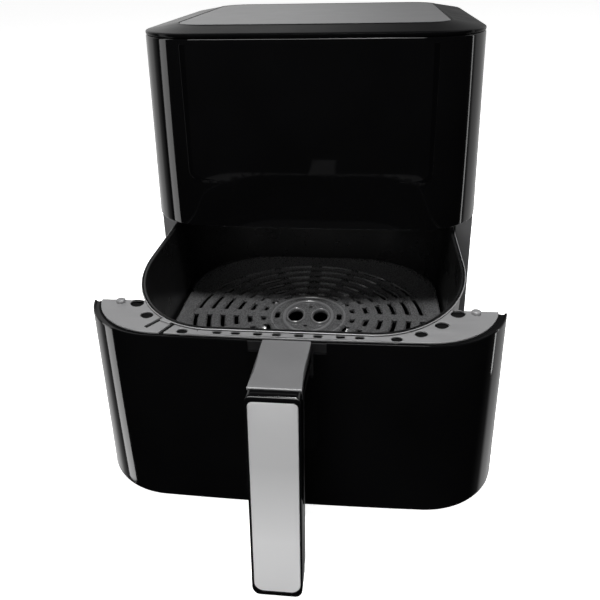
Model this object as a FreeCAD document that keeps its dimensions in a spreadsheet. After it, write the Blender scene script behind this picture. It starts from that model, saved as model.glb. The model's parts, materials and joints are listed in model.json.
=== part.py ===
import FreeCAD
import Part
import Sketcher
import math
import os

# A basket air fryer with its drawer pulled part of the way out.
# The frame is millimetres, +Z up, +X to the right as the user sees it and -Y towards the user.
# The origin is on the table, under the middle of the whole assembly.
# Depths are counted from the front face of the housing, heights from the table.

DOC = FreeCAD.newDocument("air_fryer")
SHEET = DOC.addObject("Spreadsheet::Sheet", "dims")

SIZES = {
    # housing
    "front_y": -26, "width": 283, "depth": 285, "corner": 54, "wall": 3,
    "foot_height": 4, "foot_radius": 10, "base_thickness": 3, "split_height": 149.5,
    "shell_top": 304, "cover_height": 8, "bevel_run": 27, "bevel_band": 1.5, "lower_inset": 1.2,
    "jamb_depth": 47, "panel_width": 199, "panel_height": 109, "panel_drop": 4, "panel_thickness": 2,
    "panel_corner": 9,
    # cooking chamber and its fan
    "chamber_half": 126.5, "chamber_corner": 48, "chamber_end": 279, "chamber_roof": 158, "sheet": 1.2,
    "fan_depth": 150.5,
    "dome_radius": 97, "dome_height": 54, "element_radius": 82, "element_step": 18, "element_wire": 3.2,
    "impeller_radius": 68, "shaft_radius": 3, "motor_radius": 34, "motor_height": 34, "cooler_radius": 46,
    # drawer
    "pulled": 163.5, "drawer_width": 285, "drawer_corner": 55, "drawer_bottom": 10, "drawer_top": 141.6,
    "front_top": 141, "return_depth": 46.6, "front_thickness": 2.4, "rim_thickness": 2.5, "rim_inset": 3,
    "basket_width": 243, "basket_length": 264, "basket_corner": 80, "basket_gap": 12, "basket_floor": 28,
    "basket_taper": 3.5, "basket_sheet": 1.5, "lip_width": 2, "lip_thickness": 1.2,
    "notch_half": 26, "notch_depth": 10, "root_depth": 26,
    # handle
    "reach_top": 62.5, "reach_bottom": 72.5, "grip_half": 16.2, "grip_front": 13, "grip_back": 8,
    "arm_top": 146, "arm_root": 145, "grip_bottom": 8, "plate_half": 14.6, "plate_thickness": 1.4,
    # crisper plate
    "crisper_height": 80, "crisper_sheet": 2, "crisper_skirt": 8, "leg_radius": 3, "pad_height": 8,
    "crisper_half": 112, "crisper_length": 246, "crisper_corner": 70,
    "slot_first": 38, "slot_pitch": 11.6, "slot_width": 4.6, "spoke": 7,
    "finger_radius": 6.3, "finger_offset": 10.6,
}
for row, (alias, number) in enumerate(SIZES.items(), start=1):
    SHEET.set(f"A{row}", alias)
    SHEET.set(f"B{row}", str(number))
    SHEET.setAlias(f"B{row}", alias)
DOC.recompute()


class Dim:
    """A number together with the spreadsheet expression that gives it."""

    def __init__(self, value, text):
        self.value = float(value)
        self.text = text

    def _join(self, other, sign, value):
        return Dim(value, f"({self.text} {sign} {as_dim(other).text})")

    def __add__(self, other):
        return self._join(other, "+", self.value + as_dim(other).value)

    def __sub__(self, other):
        return self._join(other, "-", self.value - as_dim(other).value)

    def __mul__(self, other):
        return self._join(other, "*", self.value * as_dim(other).value)

    def __truediv__(self, other):
        return self._join(other, "/", self.value / as_dim(other).value)

    def __neg__(self):
        return as_dim(0) - self

    def __rsub__(self, other):
        return as_dim(other) - self


def as_dim(number):
    return number if isinstance(number, Dim) else Dim(number, repr(float(number)))


def dim(alias):
    return Dim(SIZES[alias], f"dims.{alias}")


NODES = {}


def keep(feature, label):
    """Names a finished object as a node to export."""
    feature.Label = label
    NODES[label] = feature
    return feature


# ---------------------------------------------------------------- PartDesign helpers

def new_body(label):
    return keep(DOC.addObject("PartDesign::Body", label), label)


def new_sketch(body, name, role="XY_Plane", across=0, along=0, lift=0):
    """A sketch on an origin plane, moved by expressions along its own two axes and its normal."""
    sketch = body.newObject("Sketcher::SketchObject", name)
    plane = next(f for f in body.Origin.OriginFeatures if f.Role == role)
    sketch.AttachmentSupport = [(plane, "")]
    sketch.MapMode = "FlatFace"
    for axis, offset in zip("xyz", (across, along, lift)):
        sketch.setExpression(f"AttachmentOffset.Base.{axis}", as_dim(offset).text)
    return sketch


def datum(sketch, kind, *refs, size):
    """Adds a dimension to a sketch and ties it to the sheet."""
    index = sketch.addConstraint(Sketcher.Constraint(kind, *refs, size.value))
    sketch.setExpression(f"Constraints[{index}]", size.text)


def polygon(sketch, points):
    """A closed outline whose corners are held at sizes from the sketch's own origin."""
    points = [(as_dim(x), as_dim(y)) for x, y in points]
    first = sketch.GeometryCount
    vectors = [FreeCAD.Vector(x.value, y.value, 0) for x, y in points]
    for start, end in zip(vectors, vectors[1:] + vectors[:1]):
        sketch.addGeometry(Part.LineSegment(start, end), False)
    count = len(points)
    for i in range(count):
        sketch.addConstraint(Sketcher.Constraint("Coincident", first + i, 2, first + (i + 1) % count, 1))
    for i, (x, y) in enumerate(points):
        datum(sketch, "DistanceX", -1, 1, first + i, 1, size=x)
        datum(sketch, "DistanceY", -1, 1, first + i, 1, size=y)


def rectangle(sketch, width, depth):
    """A rectangle centred across the sketch and starting at its origin."""
    half = as_dim(width) / 2
    polygon(sketch, [(-half, as_dim(0)), (half, as_dim(0)), (half, as_dim(depth)), (-half, as_dim(depth))])


def circle(sketch, radius, x=0, y=0):
    radius, x, y = as_dim(radius), as_dim(x), as_dim(y)
    centre, normal = FreeCAD.Vector(x.value, y.value, 0), FreeCAD.Vector(0, 0, 1)
    index = sketch.addGeometry(Part.Circle(centre, normal, radius.value), False)
    datum(sketch, "Radius", index, size=radius)
    datum(sketch, "DistanceX", -1, 1, index, 3, size=x)
    datum(sketch, "DistanceY", -1, 1, index, 3, size=y)


def oval(sketch, length, radius, x, y):
    """A slot with round ends lying across the sketch, centred on a point."""
    length, radius, x, y = as_dim(length), as_dim(radius), as_dim(x), as_dim(y)
    reach = (length / 2 - radius)
    left, right, r = (x - reach).value, (x + reach).value, radius.value
    first = sketch.GeometryCount
    for centre, angle in ((right, -90), (left, 90)):
        end = Part.Circle(FreeCAD.Vector(centre, y.value, 0), FreeCAD.Vector(0, 0, 1), r)
        sketch.addGeometry(Part.ArcOfCircle(end, math.radians(angle), math.radians(angle + 180)), False)
    for start, end, level in ((right, left, y.value + r), (left, right, y.value - r)):
        ends = FreeCAD.Vector(start, level, 0), FreeCAD.Vector(end, level, 0)
        sketch.addGeometry(Part.LineSegment(*ends), False)
    for arc, line in ((0, 2), (2, 1), (1, 3), (3, 0)):
        sketch.addConstraint(Sketcher.Constraint("Tangent", first + arc, 2, first + line, 1))
    sketch.addConstraint(Sketcher.Constraint("Equal", first, first + 1))
    datum(sketch, "Radius", first, size=radius)
    for arc, middle in ((first, x + reach), (first + 1, x - reach)):
        datum(sketch, "DistanceX", -1, 1, arc, 3, size=middle)
    datum(sketch, "DistanceY", -1, 1, first, 3, size=y)


def rounded_rectangle(sketch, width, depth, corner):
    """A rectangle with four equal round corners, centred across the sketch and starting at its origin."""
    width, depth, corner = as_dim(width), as_dim(depth), as_dim(corner)
    half, d, r = width.value / 2, depth.value, corner.value
    corners = [(half - r, r, -90), (half - r, d - r, 0), (r - half, d - r, 90), (r - half, r, 180)]
    first = sketch.GeometryCount
    for x, y, angle in corners:
        round_corner = Part.Circle(FreeCAD.Vector(x, y, 0), FreeCAD.Vector(0, 0, 1), r)
        start, end = math.radians(angle), math.radians(angle + 90)
        sketch.addGeometry(Part.ArcOfCircle(round_corner, start, end), False)
    ends = [((half, r), (half, d - r)), ((half - r, d), (r - half, d)),
            ((-half, d - r), (-half, r)), ((r - half, 0), (half - r, 0))]
    for start, end in ends:
        sketch.addGeometry(Part.LineSegment(FreeCAD.Vector(*start, 0), FreeCAD.Vector(*end, 0)), False)
    for i in range(4):
        line = first + 4 + i
        sketch.addConstraint(Sketcher.Constraint("Tangent", first + i, 2, line, 1))
        sketch.addConstraint(Sketcher.Constraint("Tangent", line, 2, first + (i + 1) % 4, 1))
        sketch.addConstraint(Sketcher.Constraint("Vertical" if i % 2 == 0 else "Horizontal", line))
    for i in range(3):
        sketch.addConstraint(Sketcher.Constraint("Equal", first + i, first + i + 1))
    datum(sketch, "Radius", first, size=corner)
    datum(sketch, "DistanceX", -1, 1, first + 4, 1, size=width / 2)
    datum(sketch, "DistanceX", first + 6, 1, -1, 1, size=width / 2)
    datum(sketch, "DistanceY", -1, 1, first + 5, 1, size=depth)
    sketch.addConstraint(Sketcher.Constraint("PointOnObject", first + 7, 1, -1))


def pad(body, sketch, length, centred=False, taper=None, down=False):
    DOC.recompute()
    feature = body.newObject("PartDesign::Pad", sketch.Name + "_pad")
    feature.Profile = sketch
    feature.setExpression("Length", as_dim(length).text)
    feature.Midplane = centred
    feature.Reversed = down
    if taper is not None:
        feature.setExpression("TaperAngle", as_dim(taper).text)
    sketch.Visibility = False
    DOC.recompute()
    return feature


def pocket(body, sketch, length, along_normal=False, centred=False, taper=0):
    """Cuts against the sketch's normal, or along it, and checks that something was cut."""
    DOC.recompute()
    before = body.Shape.Volume
    feature = body.newObject("PartDesign::Pocket", sketch.Name + "_pocket")
    feature.Profile = sketch
    feature.setExpression("Length", as_dim(length).text)
    feature.Midplane = centred
    feature.Reversed = along_normal
    feature.setExpression("TaperAngle", (-as_dim(taper)).text)
    DOC.recompute()
    if body.Shape.Volume > before - 0.01:
        raise RuntimeError(f"{feature.Name} of {body.Label} cuts nothing")
    return feature


def revolve(body, sketch):
    """Turns a sketch of the YZ or XZ plane once around its own vertical axis."""
    DOC.recompute()
    feature = body.newObject("PartDesign::Revolution", sketch.Name + "_turned")
    feature.Profile = sketch
    feature.ReferenceAxis = (sketch, ["V_Axis"])
    feature.Angle = 360
    DOC.recompute()
    return feature


def around(body, features, count, sketch):
    """Repeats features in a full turn about a sketch's normal."""
    pattern = body.newObject("PartDesign::PolarPattern", features[0].Name + "_turns")
    pattern.Originals = features
    pattern.Axis = (sketch, ["N_Axis"])
    pattern.Angle = 360
    pattern.Occurrences = count
    body.Tip = pattern
    DOC.recompute()
    return pattern


def round_edges(body, radius, chosen, name):
    """Fillets the edges of a body that the test picks out."""
    DOC.recompute()
    base = body.Tip
    names = [f"Edge{i}" for i, edge in enumerate(base.Shape.Edges, start=1) if chosen(edge)]
    if not names:
        raise RuntimeError(f"{body.Label}: no edges for {name}")
    feature = body.newObject("PartDesign::Fillet", name)
    feature.Base = (base, names)
    feature.setExpression("Radius", as_dim(radius).text)
    DOC.recompute()
    return feature


def is_upright(edge):
    ends = [v.Point for v in edge.Vertexes]
    return len(ends) == 2 and abs(ends[0].x - ends[1].x) < 0.01 and abs(ends[0].y - ends[1].y) < 0.01


def is_level(height):
    def test(edge):
        return abs(edge.BoundBox.ZMin - height) < 0.01 and abs(edge.BoundBox.ZMax - height) < 0.01
    return test


# ---------------------------------------------------------------- Part helpers

def place(feature, x=0, y=0, z=0):
    for axis, offset in zip("xyz", (x, y, z)):
        feature.setExpression(f"Placement.Base.{axis}", as_dim(offset).text)
    return feature


def block(name, x, y, z, at):
    """A box of the given sizes whose middle across X, front in Y and bottom are at a point."""
    feature = DOC.addObject("Part::Box", name)
    for size, amount in zip(("Length", "Width", "Height"), (x, y, z)):
        feature.setExpression(size, as_dim(amount).text)
    return place(feature, as_dim(at[0]) - as_dim(x) / 2, at[1], at[2])


def cylinder(name, radius, height, at, axis="z"):
    feature = DOC.addObject("Part::Cylinder", name)
    feature.setExpression("Radius", as_dim(radius).text)
    feature.setExpression("Height", as_dim(height).text)
    turns = {
        "z": (FreeCAD.Vector(0, 0, 1), 0),
        "y": (FreeCAD.Vector(1, 0, 0), -90),
        "x": (FreeCAD.Vector(0, 1, 0), 90),
    }
    feature.Placement.Rotation = FreeCAD.Rotation(*turns[axis])
    return place(feature, *at)


def torus(name, major, minor, at):
    feature = DOC.addObject("Part::Torus", name)
    feature.setExpression("Radius1", as_dim(major).text)
    feature.setExpression("Radius2", as_dim(minor).text)
    return place(feature, *at)


def fuse(name, features):
    result = DOC.addObject("Part::MultiFuse", name)
    result.Shapes = features
    return result


def cut(name, base, tool):
    result = DOC.addObject("Part::Cut", name)
    result.Base = base
    result.Tool = tool
    return result


def group(label, features):
    """Separate solids that share one node."""
    result = DOC.addObject("Part::Compound", label)
    result.Links = features
    return keep(result, label)


FRONT = dim("front_y")
BACK = FRONT + dim("depth")
JAMB = FRONT + dim("jamb_depth")
FAN_Y = FRONT + dim("fan_depth")
DRAWER_Y = FRONT - dim("pulled")
BASE_TOP = dim("foot_height") + dim("base_thickness")
LOWER_WIDTH = dim("width") - dim("lower_inset") * 2
NUB_HEIGHT = 2.4
NUB_DEPTH = 43


# ---------------------------------------------------------------- housing

def outer_shell():
    """The gloss upper shell: an open rounded tube with a sunk place for the control panel."""
    body = new_body("outer_shell")
    height = dim("shell_top") - dim("split_height")
    outline = new_sketch(body, "shell_outline", along=FRONT, lift=dim("split_height"))
    rounded_rectangle(outline, dim("width"), dim("depth"), dim("corner"))
    pad(body, outline, height)
    round_edges(body, 1.2, is_level(SIZES["split_height"]), "shell_lower_edge")
    hollow = new_sketch(body, "shell_hollow", along=FRONT + dim("wall"), lift=dim("split_height"))
    rounded_rectangle(hollow, dim("width") - dim("wall") * 2, dim("depth") - dim("wall") * 2,
                      dim("corner") - dim("wall"))
    pocket(body, hollow, height, along_normal=True)
    seat = new_sketch(body, "panel_seat", "XZ_Plane", along=panel_bottom() - 0.4, lift=-FRONT)
    rectangle(seat, dim("panel_width") + 0.8, dim("panel_height") + 0.8)
    pocket(body, seat, dim("panel_thickness"))
    window = new_sketch(body, "vent_window", "XZ_Plane", along=220, lift=-(BACK + 1))
    rectangle(window, 110, 50)
    pocket(body, window, 6, along_normal=True)


def panel_bottom():
    return dim("shell_top") - dim("panel_drop") - dim("panel_height")


def control_panel():
    """The dark window over the display and touch keys."""
    body = new_body("control_panel")
    face = new_sketch(body, "panel_face", "XZ_Plane", along=panel_bottom(), lift=-FRONT)
    rectangle(face, dim("panel_width"), dim("panel_height"))
    pad(body, face, dim("panel_thickness"), down=True)

    def is_bottom_corner(edge):
        box = edge.BoundBox
        runs_back = box.YLength > 1 and box.XLength < 0.01 and box.ZLength < 0.01
        return runs_back and box.ZMax < panel_bottom().value + 1
    round_edges(body, dim("panel_corner"), is_bottom_corner, "panel_corners")


def top_cover():
    """The sloped rim of the top, hollow below and sunk in the middle for the top panel."""
    body = new_body("top_cover")
    band = new_sketch(body, "cover_band", along=FRONT, lift=dim("shell_top"))
    rounded_rectangle(band, dim("width"), dim("depth"), dim("corner"))
    pad(body, band, dim("bevel_band"))
    low = new_sketch(body, "bevel_low", along=FRONT, lift=dim("shell_top") + dim("bevel_band"))
    rounded_rectangle(low, dim("width"), dim("depth"), dim("corner"))
    inset = dim("bevel_run")
    high = new_sketch(body, "bevel_high", along=FRONT + inset, lift=dim("shell_top") + dim("cover_height"))
    rounded_rectangle(high, dim("width") - inset * 2, dim("depth") - inset * 2, dim("corner") - inset)
    DOC.recompute()
    slope = body.newObject("PartDesign::AdditiveLoft", "cover_slope")
    slope.Profile = low
    slope.Sections = [high]
    slope.Ruled = True
    DOC.recompute()
    sections = []
    levels = (("under_low", as_dim(9), as_dim(0)), ("under_high", inset + 3, dim("cover_height") - 5))
    for name, inner, lift in levels:
        section = new_sketch(body, name, along=FRONT + inner, lift=dim("shell_top") + lift)
        rounded_rectangle(section, dim("width") - inner * 2, dim("depth") - inner * 2, dim("corner") - inner)
        sections.append(section)
    DOC.recompute()
    hollow = body.newObject("PartDesign::SubtractiveLoft", "cover_hollow")
    hollow.Profile = sections[0]
    hollow.Sections = sections[1:]
    hollow.Ruled = True
    sunk = dim("bevel_run") + 1
    seat = new_sketch(body, "top_seat", along=FRONT + sunk, lift=dim("shell_top") + dim("cover_height"))
    rounded_rectangle(seat, dim("width") - sunk * 2, dim("depth") - sunk * 2, dim("corner") - sunk)
    pocket(body, seat, 2)


def top_panel():
    body = new_body("top_panel")
    inset = dim("bevel_run") + 1.6
    face = new_sketch(body, "top_face", along=FRONT + inset, lift=dim("shell_top") + dim("cover_height"))
    rounded_rectangle(face, dim("width") - inset * 2, dim("depth") - inset * 2, dim("corner") - inset)
    pad(body, face, 2, down=True)


def lower_body():
    """The lower shell: two sides and a back, open at the front for the drawer."""
    body = new_body("lower_body")
    height = dim("split_height") - BASE_TOP
    inset, wall = dim("lower_inset"), dim("wall")
    for name, grow, use in (("lower_outline", inset, pad), ("lower_hollow", inset + wall, pocket)):
        sketch = new_sketch(body, name, along=FRONT + grow, lift=BASE_TOP)
        rounded_rectangle(sketch, dim("width") - grow * 2, dim("depth") - grow * 2, dim("corner") - grow)
        if use is pad:
            pad(body, sketch, height)
        else:
            pocket(body, sketch, height, along_normal=True)
    mouth = new_sketch(body, "lower_mouth", along=FRONT - 1, lift=BASE_TOP)
    rectangle(mouth, dim("width") + 2, dim("jamb_depth") + wall + 1)
    pocket(body, mouth, height, along_normal=True)
    hole = new_sketch(body, "gland_hole", "XZ_Plane", across=70, along=35, lift=-(BACK + 1))
    circle(hole, 8)
    pocket(body, hole, 8, along_normal=True)


def front_bezel():
    """The flat frame around the mouth of the drawer bay."""
    body = new_body("front_bezel")
    face = new_sketch(body, "bezel_face", "XZ_Plane", along=BASE_TOP, lift=-JAMB)
    rectangle(face, LOWER_WIDTH, dim("split_height") - BASE_TOP)
    pad(body, face, dim("wall"), down=True)
    mouth = new_sketch(body, "bezel_mouth", "XZ_Plane", along=BASE_TOP + 2.2, lift=-JAMB)
    rectangle(mouth, dim("chamber_half") * 2, dim("split_height") - BASE_TOP)
    pocket(body, mouth, dim("wall"))


def bay_ceiling():
    """The plate that closes the upper shell from below in front of the bay, with an upstand to the roof."""
    body = new_body("bay_ceiling")
    inset = dim("wall") + 0.1
    outline = new_sketch(body, "ceiling_outline", along=FRONT + inset, lift=dim("split_height"))
    rounded_rectangle(outline, dim("width") - inset * 2, dim("depth") - inset * 2, dim("corner") - inset)
    pad(body, outline, 2)
    spare = new_sketch(body, "ceiling_spare", along=JAMB + dim("wall"), lift=dim("split_height"))
    rectangle(spare, dim("width") + 2, dim("depth"))
    pocket(body, spare, 2, along_normal=True)
    upstand = new_sketch(body, "ceiling_upstand", along=JAMB, lift=dim("split_height"))
    rectangle(upstand, (dim("chamber_half") + dim("sheet")) * 2, dim("wall"))
    pad(body, upstand, dim("chamber_roof") + dim("sheet") - dim("split_height"))
    hole = new_sketch(body, "ceiling_hole", along=FRONT + NUB_DEPTH, lift=dim("split_height"))
    circle(hole, 1.8, 121, 0)
    pocket(body, hole, 2, along_normal=True)


def base_plate():
    body = new_body("base_plate")
    start = FRONT + 12
    outline = new_sketch(body, "base_outline", along=start, lift=dim("foot_height"))
    rectangle(outline, LOWER_WIDTH, dim("depth") - 12 - dim("lower_inset"))
    pad(body, outline, dim("base_thickness"))
    round_edges(body, dim("corner") - dim("lower_inset"),
                lambda e: is_upright(e) and e.BoundBox.YMax > BACK.value - 5, "base_back_corners")
    round_edges(body, 44, lambda e: is_upright(e) and e.BoundBox.YMax < start.value + 1, "base_front_corners")


def foot_places():
    return [(side * 105, FRONT + far) for side in (-1, 1) for far in (62, 250)]


def rubber_feet():
    group("rubber_feet", [cylinder(f"foot_{i}", dim("foot_radius"), dim("foot_height"), (x, y, 0))
                          for i, (x, y) in enumerate(foot_places())])


def rear_vent():
    """The exhaust louvre, which also holds the appliance off a wall."""
    frame = block("vent_frame", 120, 2, 60, (0, BACK, 215))
    opening = block("vent_opening", 104, 4, 44, (0, BACK - 1, 223))
    slats = [block(f"vent_slat_{i}", 106, 4, 1.8, (0, BACK - 2, 226 + 6.5 * i)) for i in range(6)]
    keep(fuse("rear_vent", [cut("vent_rim", frame, opening)] + slats), "rear_vent")


def cord_gland():
    """The bush that a mains lead would pass through."""
    barrel = cylinder("gland_barrel", 7.9, 7.4, (70, BACK - dim("lower_inset") - 3.4, 35), "y")
    flange = cylinder("gland_flange", 11, 3, (70, BACK - dim("lower_inset"), 35), "y")
    bore = cylinder("gland_bore", 3.8, 30, (70, BACK - 20, 35), "y")
    keep(cut("cord_gland", fuse("gland_solid", [barrel, flange]), bore), "cord_gland")


# ---------------------------------------------------------------- cooking chamber

def bay_sheet(label, grow, low, high):
    """A body as deep as the bay, square at the front and round at the back corners."""
    body = new_body(label)
    outline = new_sketch(body, label + "_outline", along=FRONT, lift=low)
    rounded_rectangle(outline, (dim("chamber_half") + grow) * 2, dim("chamber_end") + grow,
                      dim("chamber_corner") + grow)
    pad(body, outline, high - low)
    return body


def trim_bay_front(body, low, high):
    """Cuts away what would stand in front of the bezel."""
    spare = new_sketch(body, body.Label + "_spare", along=FRONT - 1, lift=low)
    rectangle(spare, dim("width") + 2, dim("jamb_depth") + dim("wall") + 1)
    pocket(body, spare, high - low, along_normal=True)


def cooking_chamber():
    """The sheet metal bay that the basket slides into, with a round mouth in its roof for the heater."""
    sheet = dim("sheet")
    low, high = BASE_TOP + 1, dim("chamber_roof") + sheet
    walls = bay_sheet("chamber_walls", sheet, low, high)
    hollow = new_sketch(walls, "walls_hollow", along=FRONT, lift=low)
    rounded_rectangle(hollow, dim("chamber_half") * 2, dim("chamber_end"), dim("chamber_corner"))
    pocket(walls, hollow, high - low, along_normal=True)
    trim_bay_front(walls, low, high)
    floor = bay_sheet("chamber_floor", as_dim(0), low, low + sheet)
    trim_bay_front(floor, low, low + sheet)
    roof = bay_sheet("chamber_roof", as_dim(0), high - sheet, high)
    mouth = new_sketch(roof, "chamber_mouth", along=FAN_Y, lift=high)
    circle(mouth, dim("dome_radius") - 1)
    circle(mouth, 2.3, -112, 0)
    pocket(roof, mouth, sheet)
    trim_bay_front(roof, high - sheet, high)


def heater_dome():
    """The spun reflector over the heating element."""
    body = new_body("heater_dome")
    low = dim("chamber_roof") + dim("sheet")
    outline = new_sketch(body, "dome_section", "XZ_Plane", along=low, lift=-FAN_Y)
    r, t, h = dim("dome_radius"), dim("sheet"), dim("dome_height")
    outside = [(r + 8, 0), (r + 8, t), (r + t, t), (r + t - 6, h)]
    inside = [(5.5, h), (5.5, h - t), (r - 6, h - t)]
    polygon(outline, [(r, 0)] + outside + inside)
    revolve(body, outline)


def heating_element():
    z = dim("chamber_roof") + 14
    radius, step, wire = dim("element_radius"), dim("element_step"), dim("element_wire")
    rings = [torus(f"element_ring_{i}", radius - step * i, wire, (0, FAN_Y, z)) for i in range(3)]
    bridge = cylinder("element_bridge", 2.6, step * 2, (radius - step * 2, FAN_Y, z), "x")
    top = dim("chamber_roof") + dim("dome_height") - z
    legs = [cylinder(f"element_leg_{side}", wire, top, (side * 26, FAN_Y + radius - 4, z))
            for side in (-1, 1)]
    keep(fuse("heating_element", rings + [bridge] + legs), "heating_element")


def element_guard():
    """Wire rings and a cross of bars below the element, on four short posts."""
    z = dim("chamber_roof") - 3
    reach = dim("dome_radius") + 1
    rings = [torus(f"guard_ring_{i}", 90 - 18 * i, 1.2, (0, FAN_Y, z)) for i in range(5)]
    bars = [cylinder("guard_bar_x", 1.2, reach * 2, (-reach, FAN_Y, z), "x"),
            cylinder("guard_bar_y", 1.2, reach * 2, (0, FAN_Y - reach, z), "y")]
    places = ((-reach, FAN_Y), (reach, FAN_Y), (0, FAN_Y - reach), (0, FAN_Y + reach))
    posts = [cylinder(f"guard_post_{i}", 2, 3, (x, y, z)) for i, (x, y) in enumerate(places)]
    keep(fuse("element_guard", rings + bars + posts), "element_guard")


def fan_wheel(label, radius, low, height, blades):
    """A flat disc with upright blades and a hub bored for the shaft."""
    body = new_body(label)
    disc = new_sketch(body, label + "_disc", along=FAN_Y, lift=low)
    circle(disc, radius)
    circle(disc, dim("shaft_radius"))
    pad(body, disc, 1.2)
    hub = new_sketch(body, label + "_hub", along=FAN_Y, lift=low)
    circle(hub, 9)
    circle(hub, dim("shaft_radius"))
    pad(body, hub, height)
    blade = new_sketch(body, label + "_blade", along=FAN_Y, lift=low)
    polygon(blade, [(14, -0.8), (radius - 2, 8), (radius - 2, 9.6), (14, 0.8)])
    first = pad(body, blade, height)
    around(body, [first], blades, blade)


def motor():
    low = dim("chamber_roof") + dim("dome_height") + 9
    body = new_body("motor_body")
    can = new_sketch(body, "motor_can", along=FAN_Y, lift=low)
    circle(can, dim("motor_radius"))
    pad(body, can, dim("motor_height"))
    bore = new_sketch(body, "motor_bore", along=FAN_Y, lift=low)
    circle(bore, 8)
    pocket(body, bore, dim("motor_height"), along_normal=True)
    ends = (low, low + dim("motor_height") - 6)
    bore_radius = dim("shaft_radius") + 0.05
    bushes = [cut(f"bush_ring_{i}", cylinder(f"bush_{i}", 8, 6, (0, FAN_Y, z)),
                  cylinder(f"bush_bore_{i}", bore_radius, 8, (0, FAN_Y, z - 1)))
              for i, z in enumerate(ends)]
    group("motor_bearings", bushes)
    shaft_low = dim("chamber_roof") + 22
    keep(cylinder("motor_shaft", dim("shaft_radius"), 90, (0, FAN_Y, shaft_low)), "motor_shaft")
    fan_wheel("fan_impeller", dim("impeller_radius"), dim("chamber_roof") + 24, 18, 10)
    fan_wheel("cooling_fan", dim("cooler_radius"), low + dim("motor_height") + 4, 14, 8)


def motor_bracket():
    body = new_body("motor_bracket")
    low = dim("chamber_roof") + dim("dome_height") + dim("sheet") + 5.8
    plate = new_sketch(body, "bracket_plate", along=FAN_Y, lift=low)
    circle(plate, 50)
    circle(plate, 14)
    pad(body, plate, 2)
    leg = new_sketch(body, "bracket_leg", along=FAN_Y, lift=low)
    circle(leg, 4, 42)
    first = pad(body, leg, 5.8, down=True)
    around(body, [first], 4, leg)


def electronics():
    """Boards and sensors above the cooking chamber."""
    board = block("control_card", 176, 1.6, 86, (0, FRONT + 9, 203))
    pins = [cylinder(f"card_pin_{i}", 3, 9 - SIZES["wall"], (x, FRONT + dim("wall"), z), "y")
            for i, (x, z) in enumerate(((-82, 209), (82, 209), (-82, 283), (82, 283)))]
    keep(fuse("control_board", [board] + pins), "control_board")
    keep(block("display_module", 90, 5.4, 34, (0, FRONT + 3.6, 245)), "display_module")
    card = block("power_card", 1.6, 130, 70, (118, FRONT + 70, 215))
    parts = [block(f"power_block_{i}", 16, 26, 22, (109.2, FRONT + 80 + 38 * i, 225)) for i in range(3)]
    wall = dim("width") / 2 - dim("wall")
    pins = [cylinder(f"power_pin_{i}", 3, wall - 118, (as_dim(118), FRONT + y, z), "x")
            for i, (y, z) in enumerate(((76, 221), (194, 221), (76, 279), (194, 279)))]
    keep(fuse("power_board", [card] + parts + pins), "power_board")
    probe = cylinder("probe_rod", 2.2, 30, (-112, FAN_Y, dim("chamber_roof") - 12))
    collar = cylinder("probe_collar", 4, 3, (-112, FAN_Y, dim("chamber_roof") + dim("sheet")))
    keep(fuse("temperature_probe", [probe, collar]), "temperature_probe")
    dome_top = dim("chamber_roof") + dim("sheet") + dim("dome_height")
    keep(block("cutout_case", 14, 22, 8, (0, FAN_Y + 60, dome_top)), "thermal_cutout")


def guide_rails():
    """Two ledges on the walls of the bay, which carry the lip of the basket."""
    length = dim("chamber_end") - dim("chamber_corner") - dim("jamb_depth") - 6
    width, height = as_dim(4.4), as_dim(4)
    low = dim("drawer_top") - height - 0.4
    middle = dim("chamber_half") - width / 2
    group("guide_rails", [block(f"rail_{side}", width, length, height, (middle * side, JAMB + 4, low))
                          for side in (-1, 1)])


def drawer_switch():
    """The interlock switch on the ceiling of the bay, with a sprung plunger over one peg of the rim."""
    y = FRONT + NUB_DEPTH
    z = dim("split_height") + 2
    case = block("switch_case", 14, 7.8, 11, (121, y - 3.9, z))
    hole = cylinder("switch_hole", 1.8, 8, (121, y, z - 1))
    keep(cut("drawer_switch", case, hole), "drawer_switch")
    low = dim("drawer_top") + NUB_HEIGHT + 0.3
    keep(cylinder("switch_pin", 1.5, z + 4.5 - low, (121, y, low)), "switch_plunger")


# ---------------------------------------------------------------- drawer

BASKET_Y = DRAWER_Y + dim("basket_gap")
BASKET_MIDDLE = BASKET_Y + dim("basket_length") / 2


def drawer_front():
    """The gloss front, wrapped round both corners and open behind, notched at the top for the handle."""
    body = new_body("drawer_front")
    height = dim("front_top") - dim("drawer_bottom")
    long = dim("drawer_corner") * 2 + 20
    outline = new_sketch(body, "front_outline", along=DRAWER_Y, lift=dim("drawer_bottom"))
    rounded_rectangle(outline, dim("drawer_width"), long, dim("drawer_corner"))
    pad(body, outline, height)
    wall = dim("front_thickness")
    hollow = new_sketch(body, "front_hollow", along=DRAWER_Y + wall, lift=dim("drawer_bottom"))
    rounded_rectangle(hollow, dim("drawer_width") - wall * 2, long - wall * 2, dim("drawer_corner") - wall)
    pocket(body, hollow, height, along_normal=True)
    spare = new_sketch(body, "front_spare", along=DRAWER_Y + dim("return_depth"), lift=dim("drawer_bottom"))
    rectangle(spare, dim("width") + 20, long)
    pocket(body, spare, height, along_normal=True)
    for name, half, depth in (("side_notch", dim("notch_half"), dim("notch_depth")),
                              ("root_notch", dim("grip_half") + 0.5, dim("root_depth"))):
        notch = new_sketch(body, name, "XZ_Plane", along=dim("drawer_top") - depth, lift=-DRAWER_Y + 1)
        rectangle(notch, half * 2, depth)
        pocket(body, notch, 6)


def basket_outline(sketch, grow):
    width, length = dim("basket_width") + grow * 2, dim("basket_length") + grow * 2
    rounded_rectangle(sketch, width, length, dim("basket_corner") + grow)


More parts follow.
